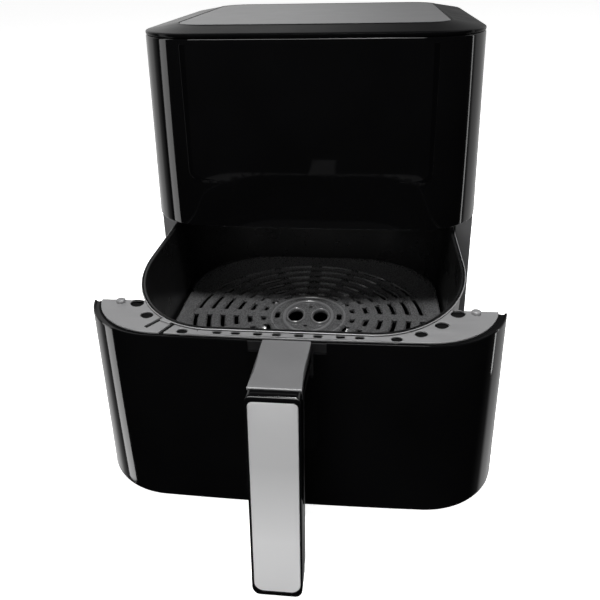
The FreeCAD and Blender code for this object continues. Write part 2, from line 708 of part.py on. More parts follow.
def drawer_rim():
    """The flat top of the drawer front, between the gloss front and the basket, with a row of vent holes."""
    body = new_body("drawer_rim")
    low = dim("drawer_top") - dim("rim_thickness")
    inset = dim("rim_inset")
    outline = new_sketch(body, "rim_outline", along=DRAWER_Y + inset, lift=low)
    long = dim("drawer_corner") * 2 + 20
    rounded_rectangle(outline, dim("drawer_width") - inset * 2, long, dim("drawer_corner") - inset)
    pad(body, outline, dim("rim_thickness"))
    spare = new_sketch(body, "rim_spare", along=DRAWER_Y + dim("return_depth"), lift=low)
    rectangle(spare, dim("width") + 20, long)
    pocket(body, spare, dim("rim_thickness"), along_normal=True)
    mouth = new_sketch(body, "rim_mouth", along=BASKET_Y - 0.4, lift=low)
    basket_outline(mouth, as_dim(0.4))
    pocket(body, mouth, dim("rim_thickness"), along_normal=True)
    holes = new_sketch(body, "rim_holes", along=DRAWER_Y, lift=low)
    for pair in (-39.3, -13.1, 13.1, 39.3):
        for side in (-6, 6):
            oval(holes, 5.4, 1.5, pair + side, 8)
    corner = SIZES["basket_corner"]
    middle = SIZES["basket_width"] / 2 - corner
    for side in (-1, 1):
        for turn, reach, radius in ((18, 5.4, 2.8), (29, 6.6, 3.2), (41, 7.6, 3.6), (53, 8.6, 4)):
            if side == -1 and turn == 29:
                continue
            angle = math.radians(turn)
            circle(holes, radius, side * (middle + (corner + reach) * math.sin(angle)),
                   SIZES["basket_gap"] + corner - (corner + reach) * math.cos(angle))
    pocket(body, holes, dim("rim_thickness"), along_normal=True)


def rim_clip():
    """The locking tab let into the left of the rim."""
    keep(block("clip_block", 9, 7, 1.2, (-84, DRAWER_Y + 6, dim("drawer_top"))), "rim_clip")


def rim_nubs():
    """Two small pegs near the ends of the rim, one of which presses the interlock switch."""
    pegs = [cylinder(f"nub_peg_{side}", 3.2, NUB_HEIGHT,
                     (side * 121, DRAWER_Y + NUB_DEPTH, dim("drawer_top"))) for side in (-1, 1)]
    group("rim_nubs", pegs)


def drawer_liner():
    """The inner wall that follows the basket, closing the drawer front from behind."""
    body = new_body("drawer_liner")
    low = dim("drawer_bottom") + 3
    height = dim("drawer_top") - dim("rim_thickness") - low
    outline = new_sketch(body, "liner_outline", along=BASKET_Y - 2.6, lift=low)
    basket_outline(outline, as_dim(2.6))
    pad(body, outline, height)
    hollow = new_sketch(body, "liner_hollow", along=BASKET_Y - 1, lift=low)
    basket_outline(hollow, as_dim(1))
    pocket(body, hollow, height, along_normal=True)
    spare = new_sketch(body, "liner_spare", along=DRAWER_Y + dim("return_depth"), lift=low)
    rectangle(spare, dim("width") + 20, dim("basket_length"))
    pocket(body, spare, height, along_normal=True)


def drawer_floor():
    """The tray that closes the drawer front from below."""
    body = new_body("drawer_floor")
    inset = dim("front_thickness") + 0.2
    outline = new_sketch(body, "floor_outline", along=DRAWER_Y + inset, lift=dim("drawer_bottom"))
    long = dim("drawer_corner") * 2 + 20
    rounded_rectangle(outline, dim("drawer_width") - inset * 2, long, dim("drawer_corner") - inset)
    pad(body, outline, 3)
    spare = new_sketch(body, "floor_spare", along=DRAWER_Y + dim("return_depth"), lift=dim("drawer_bottom"))
    rectangle(spare, dim("width") + 20, long)
    pocket(body, spare, 3, along_normal=True)


def basket():
    """The deep non-stick pan: drafted walls, a rounded floor and a turned-out lip."""
    body = new_body("basket")
    top = dim("drawer_top")
    outline = new_sketch(body, "pan_outline", along=BASKET_Y, lift=top)
    basket_outline(outline, as_dim(0))
    pad(body, outline, top - dim("basket_floor"), taper=-dim("basket_taper"), down=True)
    sheet = dim("basket_sheet")
    inner_floor = dim("basket_floor") + sheet
    hollow = new_sketch(body, "pan_hollow", along=BASKET_Y + sheet, lift=top)
    basket_outline(hollow, -sheet)
    pocket(body, hollow, top - inner_floor, taper=dim("basket_taper"))
    round_edges(body, 15.5, is_level(inner_floor.value), "pan_inner_round")
    round_edges(body, 17, is_level(SIZES["basket_floor"]), "pan_floor_round")
    lip = new_sketch(body, "pan_lip", along=BASKET_Y - dim("lip_width"), lift=top)
    basket_outline(lip, dim("lip_width"))
    pad(body, lip, dim("lip_thickness"))
    mouth = new_sketch(body, "pan_mouth", along=BASKET_Y + sheet, lift=top)
    basket_outline(mouth, -sheet)
    pocket(body, mouth, dim("lip_thickness"), along_normal=True)






def handle_shells():
    """The front shell carries the trim plate; the rear shell closes the arm and the grip from behind."""
    foot_y = DRAWER_Y - dim("reach_bottom")
    tip = dim("reach_bottom") - dim("reach_top")
    root = dim("reach_bottom") + dim("front_thickness")
    front, back = dim("grip_front"), dim("grip_back")
    part_z = dim("arm_top") - front
    front_body = new_body("handle_front")
    side = new_sketch(front_body, "handle_front_side", "YZ_Plane", across=foot_y)
    polygon(side, [(0, dim("grip_bottom")), (front, dim("grip_bottom")), (tip + front, part_z),
                   (root, dim("arm_root") - front), (root, dim("arm_root")), (tip, dim("arm_top"))])
    pad(front_body, side, dim("grip_half") * 2, centred=True)

    def is_front_corner(edge):
        box = edge.BoundBox
        return box.XLength > 30 and box.YMax < (foot_y + tip + 1).value and box.ZMax > SIZES["arm_top"] - 1
    round_edges(front_body, 2.5, is_front_corner, "handle_brow")
    sunk = new_sketch(front_body, "plate_seat", "YZ_Plane", across=foot_y)
    slope = tip / (dim("arm_top") - dim("grip_bottom"))
    low, high = dim("grip_bottom") + 4, dim("arm_top") - 4
    lean = slope * (high - low)
    thick = dim("plate_thickness")
    start = slope * 4
    polygon(sunk, [(start - 1, low), (start + thick, low),
                   (start + lean + thick, high), (start + lean - 1, high)])
    pocket(front_body, sunk, dim("plate_half") * 2 + 0.4, centred=True)
    plate_body = new_body("handle_plate")
    face = new_sketch(plate_body, "plate_side", "YZ_Plane", across=foot_y)
    shift = slope * 0.2
    polygon(face, [(start - 0.3, low + 0.2), (start + thick + shift, low + 0.2),
                   (start + lean + thick - shift, high - 0.2), (start + lean - 0.3, high - 0.2)])
    pad(plate_body, face, dim("plate_half") * 2, centred=True)
    round_edges(plate_body, 4.5, lambda e: e.BoundBox.XLength < 0.01 and e.Length < 3, "plate_corners")
    rear_body = new_body("handle_rear")
    rear = new_sketch(rear_body, "handle_rear_side", "YZ_Plane", across=foot_y)
    polygon(rear, [(front, dim("grip_bottom")), (front + back, dim("grip_bottom") + 2),
                   (tip + front + back, part_z - back), (root, dim("arm_root") - front - back),
                   (root, dim("arm_root") - front), (tip + front, part_z)])
    pad(rear_body, rear, dim("grip_half") * 2 - 1.2, centred=True)

    def is_inner_corner(edge):
        box = edge.BoundBox
        return box.XLength > 30 and abs(box.ZMax - (part_z - back).value) < 0.1 and box.ZLength < 0.01
    round_edges(rear_body, 10, is_inner_corner, "handle_finger_round")


def handle_bracket():
    """The steel bracket behind the notch, which ties the handle to the drawer."""
    wall = dim("front_thickness")
    low = dim("drawer_top") - dim("root_depth") - 6
    width = dim("notch_half") * 2 + 8
    height = dim("drawer_top") - dim("rim_thickness") - low
    keep(block("bracket_plate", width, 2, height, (0, DRAWER_Y + wall, low)), "handle_bracket")


def handle_screws():
    """Two screw heads behind the bracket, in line with the root of the handle."""
    behind = DRAWER_Y + dim("front_thickness") + 2
    screws = [cylinder(f"handle_screw_{side}", 3, 1.6, (side * 9, behind, 126), "y") for side in (-1, 1)]
    group("handle_screws", screws)


# ---------------------------------------------------------------- crisper plate

def arc_slots(sketch, radii, start, end):
    """Concentric slots with square ends, from one angle to another in degrees."""
    half = SIZES["slot_width"] / 2
    for radius in radii:
        trim = math.degrees(SIZES["spoke"] / 2 / radius)
        a, b = math.radians(start + trim), math.radians(end - trim)
        first = sketch.GeometryCount
        centre, normal = FreeCAD.Vector(0, 0, 0), FreeCAD.Vector(0, 0, 1)
        for edge in (radius - half, radius + half):
            sketch.addGeometry(Part.ArcOfCircle(Part.Circle(centre, normal, edge), a, b), False)
        for angle in (a, b):
            ray = FreeCAD.Vector(math.cos(angle), math.sin(angle), 0)
            sketch.addGeometry(Part.LineSegment(ray * (radius - half), ray * (radius + half)), False)
        inner, outer, near, far = range(first, first + 4)
        links = ((inner, 1, near, 1), (outer, 1, near, 2), (inner, 2, far, 1), (outer, 2, far, 2))
        for link in links:
            sketch.addConstraint(Sketcher.Constraint("Coincident", *link))


def crisper_plate():
    """The lift-out plate: rings of slots cut by spokes, two finger holes and a turned-down skirt."""
    body = new_body("crisper_plate")
    top = dim("crisper_height")
    sheet = dim("crisper_sheet")
    length = dim("crisper_length")
    start = BASKET_MIDDLE - length / 2
    outline = new_sketch(body, "crisper_outline", along=start, lift=top)
    rounded_rectangle(outline, dim("crisper_half") * 2, length, dim("crisper_corner"))
    pad(body, outline, dim("crisper_skirt"), down=True)
    hollow = new_sketch(body, "crisper_hollow", along=start + sheet, lift=top - dim("crisper_skirt"))
    rounded_rectangle(hollow, (dim("crisper_half") - sheet) * 2, length - sheet * 2,
                      dim("crisper_corner") - sheet)
    pocket(body, hollow, dim("crisper_skirt") - sheet, along_normal=True)
    fingers = new_sketch(body, "finger_holes", along=BASKET_MIDDLE, lift=top)
    circle(fingers, dim("finger_radius"), dim("finger_offset"))
    circle(fingers, dim("finger_radius"), -dim("finger_offset"))
    pocket(body, fingers, sheet)
    sector = new_sketch(body, "ring_slots", along=BASKET_MIDDLE, lift=top)
    arc_slots(sector, [SIZES["slot_first"] + SIZES["slot_pitch"] * i for i in range(6)], 0, 22.5)
    first = pocket(body, sector, sheet)
    around(body, [first], 16, sector)
    corners = new_sketch(body, "corner_slots", along=BASKET_MIDDLE, lift=top)
    outer = SIZES["slot_first"] + SIZES["slot_pitch"] * 6
    arc_slots(corners, [outer], 45, 67.5)
    arc_slots(corners, [outer], 22.5, 45)
    second = pocket(body, corners, sheet)
    around(body, [second], 4, corners)


def crisper_feet():
    """Four legs under the plate, with silicone pads that stand on the floor of the basket."""
    low = dim("basket_floor") + dim("basket_sheet") + 0.3
    top = dim("crisper_height") - dim("crisper_sheet")
    places = [(x, BASKET_MIDDLE + y) for x in (-78, 78) for y in (-84, 84)]
    group("crisper_legs", [cylinder(f"crisper_leg_{i}", dim("leg_radius"), top - low - dim("pad_height"),
                                    (x, y, low + dim("pad_height"))) for i, (x, y) in enumerate(places)])
    group("crisper_pads", [cylinder(f"crisper_pad_{i}", 4, dim("pad_height"), (x, y, low))
                           for i, (x, y) in enumerate(places)])


BUILDERS = (
    outer_shell, control_panel, top_cover, top_panel, lower_body, front_bezel, base_plate, rubber_feet,
    rear_vent, cord_gland, bay_ceiling, cooking_chamber, heater_dome, heating_element, element_guard, motor,
    motor_bracket, electronics, guide_rails, drawer_switch, drawer_front, drawer_rim, rim_clip, rim_nubs,
    drawer_liner, drawer_floor, basket, handle_shells, handle_bracket, handle_screws, crisper_plate,
    crisper_feet,
)
for build in BUILDERS:
    build()
DOC.recompute()

for item in DOC.Objects:
    if "Invalid" in item.State or "Error" in item.State:
        raise RuntimeError(f"{item.Name} ({item.Label}) failed: {item.State}")
os.makedirs("parts", exist_ok=True)
for label, item in NODES.items():
    shape = item.Shape
    if shape.isNull() or not shape.isValid() or not shape.Solids:
        raise RuntimeError(f"{label} has no valid solid")
    shape.exportStep(f"parts/{label}.step")
    print(f"{label}: {len(shape.Solids)} solid(s), {shape.Volume / 1000:.1f} cm3")
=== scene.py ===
import bmesh
import bpy
import json
import math
from mathutils import Matrix, Vector


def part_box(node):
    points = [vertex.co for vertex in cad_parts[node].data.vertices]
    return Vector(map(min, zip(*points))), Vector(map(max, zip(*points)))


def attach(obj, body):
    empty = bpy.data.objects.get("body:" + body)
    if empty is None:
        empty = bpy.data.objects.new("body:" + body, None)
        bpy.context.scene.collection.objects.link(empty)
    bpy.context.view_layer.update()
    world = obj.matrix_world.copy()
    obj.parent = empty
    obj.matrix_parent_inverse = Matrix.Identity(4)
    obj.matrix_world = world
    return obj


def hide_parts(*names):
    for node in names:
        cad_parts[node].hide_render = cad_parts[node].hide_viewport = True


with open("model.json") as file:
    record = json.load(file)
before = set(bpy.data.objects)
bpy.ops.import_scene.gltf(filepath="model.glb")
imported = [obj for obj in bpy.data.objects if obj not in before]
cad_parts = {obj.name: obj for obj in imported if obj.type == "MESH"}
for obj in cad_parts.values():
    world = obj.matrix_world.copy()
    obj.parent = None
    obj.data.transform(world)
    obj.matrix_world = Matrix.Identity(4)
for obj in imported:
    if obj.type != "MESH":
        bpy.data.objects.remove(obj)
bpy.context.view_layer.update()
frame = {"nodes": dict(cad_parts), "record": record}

BODIES = frame["record"]["behaviour"]["bodies"]
BODY_OF = {node: body for body, nodes in BODIES.items() for node in nodes}
MM = 0.001


# ---------------------------------------------------------------- materials

class Nodes:
    """A short way to write a material's node tree."""

    def __init__(self, name, base, rough, metallic=0.0, spec=0.5, ior=1.5):
        self.material = bpy.data.materials.new(name)
        self.material.use_nodes = True
        self.tree = self.material.node_tree
        self.shader = self.tree.nodes["Principled BSDF"]
        self.shader.inputs["Base Color"].default_value = (*base, 1)
        self.shader.inputs["Roughness"].default_value = rough
        self.shader.inputs["Metallic"].default_value = metallic
        self.shader.inputs["Specular IOR Level"].default_value = spec
        self.shader.inputs["IOR"].default_value = ior
        self.place = self.add("ShaderNodeTexCoord").outputs["Object"]

    def add(self, kind, **settings):
        node = self.tree.nodes.new(kind)
        for key, value in settings.items():
            if key in node.inputs:
                node.inputs[key].default_value = value
            else:
                setattr(node, key, value)
        return node

    def link(self, a, b):
        self.tree.links.new(a, b)

    def noise(self, scale, detail=3.0, stretch=None):
        node = self.add("ShaderNodeTexNoise", Scale=scale, Detail=detail)
        place = self.place
        if stretch:
            mapping = self.add("ShaderNodeMapping")
            mapping.inputs["Scale"].default_value = stretch
            self.link(place, mapping.inputs["Vector"])
            place = mapping.outputs["Vector"]
        self.link(place, node.inputs["Vector"])
        return node.outputs["Fac"]

    def spread(self, value, low, high, start=0.3, end=0.7):
        node = self.add("ShaderNodeMapRange")
        self.link(value, node.inputs["Value"])
        for key, number in (("From Min", start), ("From Max", end), ("To Min", low), ("To Max", high)):
            node.inputs[key].default_value = number
        return node.outputs["Result"]

    def tint(self, value, low, high):
        ramp = self.add("ShaderNodeValToRGB")
        ramp.color_ramp.elements[0].position = 0.3
        ramp.color_ramp.elements[1].position = 0.7
        ramp.color_ramp.elements[0].color = (*low, 1)
        ramp.color_ramp.elements[1].color = (*high, 1)
        self.link(value, ramp.inputs["Fac"])
        self.link(ramp.outputs["Color"], self.shader.inputs["Base Color"])

    def bump(self, value, strength, distance):
        node = self.add("ShaderNodeBump", Strength=strength, Distance=distance)
        self.link(value, node.inputs["Height"])
        self.link(node.outputs["Normal"], self.shader.inputs["Normal"])
        return node


def plastic(name, base, rough, grain=900.0, bump=0.02, depth=0.0001, vary=0.25, spec=0.5, ior=1.5,
            drift=0.22):
    """Moulded plastic: a fine grain, patchy gloss and a slight drift of colour."""
    m = Nodes(name, base, rough, spec=spec, ior=ior)
    patches = m.noise(14.0, 4.0)
    m.tint(patches, [c * (1 - vary) for c in base], [c * (1 + vary) for c in base])
    gloss = m.spread(m.noise(60.0, 5.0), rough * (1 - drift), rough * (1 + drift))
    m.link(gloss, m.shader.inputs["Roughness"])
    m.bump(m.noise(grain, 2.0), bump, depth)
    return m.material


def metal(name, base, rough, stretch=(4.0, 220.0, 220.0)):
    """Rolled or brushed metal with fine lines along one way."""
    m = Nodes(name, base, rough, metallic=1.0)
    lines = m.noise(6.0, 6.0, stretch)
    m.tint(m.noise(25.0, 4.0), [c * 0.92 for c in base], [c * 1.08 for c in base])
    m.link(m.spread(lines, rough * 0.8, rough * 1.25), m.shader.inputs["Roughness"])
    m.bump(lines, 0.04, 0.0001)
    return m.material


def coated(name, base, rough):
    """Dark non-stick coating with a fleck and an orange-peel surface."""
    m = Nodes(name, base, rough)
    cells = m.add("ShaderNodeTexVoronoi", Scale=700.0)
    m.link(m.place, cells.inputs["Vector"])
    fleck = m.spread(cells.outputs["Distance"], 0.0, 1.0, 0.0, 0.9)
    m.tint(fleck, [c * 1.5 for c in base], [c * 0.8 for c in base])
    m.link(m.spread(m.noise(40.0, 4.0), rough * 0.8, rough * 1.2), m.shader.inputs["Roughness"])
    m.bump(m.noise(500.0, 3.0), 0.12, 0.0002)
    return m.material


def handle_trim(name):
    """Silver trim of the handle: brushed along its length, with painted light that makes it a little paler
    towards its foot.
    """
    m = Nodes(name, (0.7, 0.7, 0.705), 0.42, metallic=0.25)
    height = m.add("ShaderNodeSeparateXYZ")
    m.link(m.place, height.inputs[0])
    brushed = m.noise(6.0, 6.0, (180.0, 180.0, 3.0))
    # Painted light: the base colour runs paler towards the foot of the trim.
    m.tint(m.spread(height.outputs["Z"], 1.0, 0.0, 0.01, 0.14), (0.62, 0.62, 0.625), (0.92, 0.92, 0.925))
    m.link(m.spread(brushed, 0.36, 0.48), m.shader.inputs["Roughness"])
    m.bump(brushed, 0.02, 0.0001)
    return m.material


JET = (0.0022, 0.0022, 0.0024)
MATERIALS = {
    "gloss_black": plastic("gloss black plastic", JET, 0.06, 260.0, bump=0.006, vary=0.2, ior=1.3),
    "lower_gloss": plastic("lower housing plastic", (0.003, 0.003, 0.0032), 0.14, 400.0, bump=0.01,
                           vary=0.2, ior=1.42),
    "cover_black": plastic("cover plastic", JET, 0.18, 260.0, bump=0.006, vary=0.2, ior=1.12),
    "panel_black": plastic("control window", (0.0016, 0.0016, 0.0018), 0.05, 260.0, bump=0.004,
                           vary=0.2, ior=1.13),
    "top_grey": plastic("top panel", (0.1, 0.1, 0.102), 0.32, bump=0.01, vary=0.015, drift=0.04),
    "matte_black": plastic("satin black plastic", (0.012, 0.012, 0.0125), 0.35),
    "rim_grey": plastic("rim plastic", (0.15, 0.15, 0.152), 0.42, 700.0, bump=0.03, vary=0.05),
    "arm_grey": plastic("handle arm", (0.11, 0.11, 0.112), 0.4, 700.0, bump=0.03, vary=0.06),
    "non_stick": coated("non-stick coating", (0.006, 0.006, 0.0062), 0.3),
    "crisper_coat": coated("crisper coating", (0.055, 0.055, 0.056), 0.22),
    # painted highlight: a paler tone for the raised rings of the crisper plate's boss
    "boss_painted_highlight": plastic("crisper boss painted highlight", (0.1, 0.1, 0.102), 0.22, 500.0, vary=0.1),
    # painted shade: a near-black, almost unreflecting sheet that keeps the rim's holes dark
    "recess_painted_shade": plastic("recess painted shade", (0.0025, 0.0025, 0.0026), 0.9, vary=0.2, spec=0.05),
    # painted highlight: a pale tone for the light line along the basket's dark lip
    "lip_painted_highlight": plastic("basket lip painted highlight", (0.16, 0.16, 0.162), 0.35, 700.0, vary=0.06),
    "trim_silver": handle_trim("handle trim"),
    "plated_sheet": metal("plated sheet", (0.42, 0.42, 0.42), 0.38, (5.0, 60.0, 5.0)),
    "heater_steel": metal("heater tube", (0.16, 0.14, 0.13), 0.5),
    "steel": metal("zinc plated steel", (0.55, 0.55, 0.54), 0.32),
    "fan_alu": metal("fan sheet", (0.6, 0.6, 0.6), 0.36),
    "silicone": plastic("silicone", (0.02, 0.02, 0.02), 0.6),
    "foot_rubber": plastic("foot rubber", (0.018, 0.018, 0.018), 0.75, 1200.0, bump=0.1, depth=0.0002),
    "board_green": plastic("circuit board", (0.02, 0.1, 0.045), 0.4, 250.0, bump=0.1, depth=0.0004,
                           vary=0.4),
    "white_plastic": plastic("white plastic", (0.6, 0.6, 0.57), 0.4),
}
SLOT_OF = {entry["node"]: entry["material_slot"] for entry in frame["record"]["subparts"]}
for node, thing in frame["nodes"].items():
    if not thing.material_slots:
        thing.data.materials.append(None)
    for place in thing.material_slots:
        place.material = MATERIALS[SLOT_OF[node]]


# ---------------------------------------------------------------- mesh helpers, in millimetres

def trim_piece(thing, body, slot, material=None, angle=35.0):
    """Gives a new piece its material and body; with no material given, the slot names the material. On its
    own it stands for no CAD node.
    """
    thing.data.materials.clear()
    thing.data.materials.append(MATERIALS[material or slot])
    thing.data.shade_smooth()
    thing.data.set_sharp_from_angle(angle=math.radians(angle))
    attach(thing, body)
    return thing


def finish_piece(thing, node, slot=None, material=None, angle=35.0):
    """Gives a new piece its material and body, and hides the CAD node that it stands for."""
    trim_piece(thing, BODY_OF[node], slot or SLOT_OF[node], material, angle)
    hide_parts(node)
    return thing


def clean(mesh):
    """Merges points that fall together and turns all faces outwards."""
    bm = bmesh.new()
    bm.from_mesh(mesh)
    bmesh.ops.remove_doubles(bm, verts=bm.verts, dist=1e-6)
    bmesh.ops.recalc_face_normals(bm, faces=bm.faces)
    bm.to_mesh(mesh)
    bm.free()


def new_mesh(name, verts, faces):
    """A new object from points in millimetres."""
    mesh = bpy.data.meshes.new(name)
    mesh.from_pydata([tuple(c * MM for c in v) for v in verts], [], faces)
    mesh.validate()
    thing = bpy.data.objects.new(name, mesh)
    bpy.context.scene.collection.objects.link(thing)
    clean(mesh)
    return thing


def join(things, name):
    """Makes one piece of several."""
    whole = things[0]
    for other in things[1:]:
        bm = bmesh.new()
        bm.from_mesh(whole.data)
        bm.from_mesh(other.data)
        bm.to_mesh(whole.data)
        bm.free()
        bpy.data.objects.remove(other)
    whole.name = name
    return whole


def outline(width, front, back, corner, bow=0.0, turn=20, run=28, open_at=None, long=None):
    """Points of a rounded rectangle, each with its inward normal, as (x, y, nx, ny).

    They start at the front left corner and go round anticlockwise, seen from above. The front bows out by
    bow. With open_at, the path runs only over the front and ends at y=open_at on both sides. With long, the
    front corners are quarter ellipses that reach this far back.
    """
    half = width / 2
    flat = half - corner
    points = []

    def arc(cx, cy, start, end, reach=None):
        reach = reach or corner
        for i in range(turn + 1):
            a = math.radians(start + (end - start) * i / turn)
            nx, ny = -math.cos(a) * reach, -math.sin(a) * corner
            size = math.hypot(nx, ny)
            points.append((cx + corner * math.cos(a), cy + reach * math.sin(a), nx / size, ny / size))

    low = front + bow + (long or corner)
    if open_at is None:
        arc(-flat, low, 180, 270, long)
    else:
        limit = math.degrees(math.asin(max(-1.0, min(1.0, (low - open_at) / corner))))
        arc(-flat, low, 180 + max(limit, 0), 270)
    for i in range(1, run):
        t = -1 + 2 * i / run
        slope = 2 * bow * t / flat
        size = math.hypot(slope, 1)
        points.append((flat * t, front + bow * t * t, -slope / size, 1 / size))
    if open_at is None:
        arc(flat, low, 270, 360, long)
        arc(flat, back - corner, 0, 90)
        arc(-flat, back - corner, 90, 180)
    else:
        arc(flat, low, 270, 360 - max(limit, 0))
    return points


def sweep(name, path, profile, closed=True):
    """Carries a closed profile of (inset, height) points along a path."""
    verts, faces = [], []
    count, size = len(path), len(profile)
    for x, y, nx, ny in path:
        verts += [(x + nx * inset, y + ny * inset, z) for inset, z in profile]
    for i in range(count if closed else count - 1):
        j = (i + 1) % count
        for k in range(size):
            m = (k + 1) % size
            faces.append((i * size + k, j * size + k, j * size + m, i * size + m))
    if not closed:
        faces.append(tuple(range(size)))
        faces.append(tuple((count - 1) * size + k for k in reversed(range(size))))
    return new_mesh(name, verts, faces)


def loft(name, loops, cap_first=False, cap_last=False):
    """Joins rings of points that have the same count."""
    verts = [p for ring in loops for p in ring]
    size = len(loops[0])
    faces = []
    for i in range(len(loops) - 1):
        for k in range(size):
            m = (k + 1) % size
            faces.append((i * size + k, i * size + m, (i + 1) * size + m, (i + 1) * size + k))
    if cap_first:
        faces.append(tuple(reversed(range(size))))
    if cap_last:
        faces.append(tuple((len(loops) - 1) * size + k for k in range(size)))
    return new_mesh(name, verts, faces)


def moved_in(path, inset):
    """The same path, moved inwards."""
    return [(x + nx * inset, y + ny * inset, nx, ny) for x, y, nx, ny in path]


def ring(path, inset, z):
    """The points of a path moved inwards, at one height."""
    return [(x + nx * inset, y + ny * inset, z) for x, y, nx, ny in path]


def rounded(points, radius, steps=5):
    """Rounds the corners of a closed 2-D polygon; radius may be a list with one radius for each corner."""
    out = []
    count = len(points)
    for i, (px, py) in enumerate(points):
        r = radius[i] if isinstance(radius, (list, tuple)) else radius
        ax, ay = points[i - 1]
        bx, by = points[(i + 1) % count]
        u = Vector((ax - px, ay - py)).normalized()
        v = Vector((bx - px, by - py)).normalized()
        half = u.angle(v) / 2
        if r <= 0 or half > 1.56:
            out.append((px, py))
            continue
        back = r / math.tan(half)
        centre = Vector((px, py)) + (u + v).normalized() * (r / math.sin(half))
        start = Vector((px, py)) + u * back - centre
        end = Vector((px, py)) + v * back - centre
        sweep_angle = start.angle_signed(end)
        for k in range(steps + 1):
            turned = Matrix.Rotation(-sweep_angle * k / steps, 2) @ start
            out.append((centre.x + turned.x, centre.y + turned.y))
    return out


def slab(name, loops, low, high, bevel=0.3):
    """A flat plate between two heights. The first loop is its edge, the others are holes."""
    curve = bpy.data.curves.new(name, "CURVE")
    curve.dimensions = "2D"
    curve.fill_mode = "BOTH"
    for points in loops:
        spline = curve.splines.new("POLY")
        spline.points.add(len(points) - 1)
        for k, (x, y) in enumerate(points):
            spline.points[k].co = (x * MM, y * MM, 0, 1)
        spline.use_cyclic_u = True
    curve.extrude = max((high - low) / 2 - bevel, 0) * MM
    curve.bevel_depth = bevel * MM
    curve.bevel_resolution = 3
    curve.offset = -bevel * MM
    maker = bpy.data.objects.new(name + "_curve", curve)
    bpy.context.scene.collection.objects.link(maker)
    bpy.context.view_layer.update()
    mesh = bpy.data.meshes.new_from_object(maker.evaluated_get(bpy.context.evaluated_depsgraph_get()))
    bpy.data.objects.remove(maker)
    mesh.transform(Matrix.Translation((0, 0, (high + low) / 2 * MM)))
    thing = bpy.data.objects.new(name, mesh)
    bpy.context.scene.collection.objects.link(thing)
    clean(mesh)
    return thing


def soften(thing, width, segments=4):
    """Rounds the sharp edges of a piece."""
    bevel = thing.modifiers.new("rounded edges", "BEVEL")
    bevel.width = width * MM
    bevel.segments = segments
    bevel.limit_method = "ANGLE"
    bevel.angle_limit = math.radians(40.0)
    bake(thing)
    return thing


def bake(thing):
    """Applies the modifiers of a piece."""
    bpy.context.view_layer.update()
    mesh = bpy.data.meshes.new_from_object(thing.evaluated_get(bpy.context.evaluated_depsgraph_get()))
    thing.modifiers.clear()
    old = thing.data
    thing.data = mesh
    bpy.data.meshes.remove(old)


def carve(thing, cutters, solver="EXACT"):
    """Cuts solids out of a piece."""
    for cutter in cutters:
        modifier = thing.modifiers.new("cut", "BOOLEAN")
        modifier.operation = "DIFFERENCE"
        modifier.solver = solver
        modifier.object = cutter
    bake(thing)
    for cutter in cutters:
        bpy.data.objects.remove(cutter)
    return thing


def box_solid(name, low, high):
    """A block between two corners, used only to cut with."""
    x0, y0, z0 = low
    x1, y1, z1 = high
    verts = [(x, y, z) for z in (z0, z1) for x, y in ((x0, y0), (x1, y0), (x1, y1), (x0, y1))]
    faces = [(0, 1, 2, 3), (4, 5, 6, 7), (0, 1, 5, 4), (1, 2, 6, 5), (2, 3, 7, 6), (3, 0, 4, 7)]
    return new_mesh(name, verts, faces)


def turned(name, profile, centre, steps=48):
    """A solid of revolution about an upright axis, from (radius, height) points."""
    cx, cy = centre
    loops = [[(cx + r * math.cos(a), cy + r * math.sin(a), z)
              for a in (2 * math.pi * k / steps for k in range(steps))] for r, z in profile]
    return loft(name, loops, cap_first=profile[0][0] > 0.01, cap_last=profile[-1][0] > 0.01)


def side_solid(name, points, half):
    """A solid with a side outline of (y, z) points, from x = -half to x = half."""
    shares = [math.sin(math.radians(a)) for a in range(-90, 91, 9)]
    loops = [[(share * half, y, z) for y, z in points] for share in shares]
    return loft(name, loops, cap_first=True, cap_last=True)


def low_mm(node):
    """The lowest corner of a CAD node's box."""
    return tuple(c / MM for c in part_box(node)[0])


def high_mm(node):
    """The highest corner of a CAD node's box."""
    return tuple(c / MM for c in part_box(node)[1])


# ---------------------------------------------------------------- housing
# Profiles are (inset, height) points: how far in from the outline, and how high.

FRONT = low_mm("outer_shell")[1]
BACK = high_mm("outer_shell")[1]
HALF = high_mm("outer_shell")[0]
SPLIT = low_mm("outer_shell")[2]
SEAM = high_mm("outer_shell")[2]
TOP = high_mm("top_cover")[2]
CORNER = 54.0  # radius of the upright corners
BOW = 1.4  # how far the middle of a front stands out from its ends
SET_BACK = 0.25  # space between the shell and the CAD front
DRAFT = 2.6  # how much the upper housing narrows on each side, at its top
LOWER_INSET = 1.2  # step from the upper housing in to the lower one
BASE = 7.0  # height of the lower housing's bottom edge
BODY_PATH = outline(HALF * 2, FRONT + SET_BACK, BACK, CORNER, BOW)


def draft(thing):
    """Narrows the upper housing a little towards its top, as the moulding does."""
    for v in thing.data.vertices:
        share = (v.co.z / MM - SPLIT) / (TOP - SPLIT)
        v.co.x *= 1 - DRAFT / HALF * share
    return thing


shell_profile = [
    (3, SPLIT + 4), (3, SPLIT + 0.6), (2.5, SPLIT + 0.1), (1.6, SPLIT), (0.9, SPLIT + 0.15),
    (0.35, SPLIT + 0.45), (0.08, SPLIT + 0.9), (0, SPLIT + 1.4),
    (0, SEAM - 1.3), (0.15, SEAM - 0.7), (0.6, SEAM - 0.2), (1.4, SEAM), (3, SEAM),
]
shell = draft(sweep("housing_shell", BODY_PATH, shell_profile))
vent = box_solid("vent_cutter", (-55, BACK - 8, 220), (55, BACK + 4, 270))
carve(shell, [vent])
finish_piece(shell, "outer_shell")

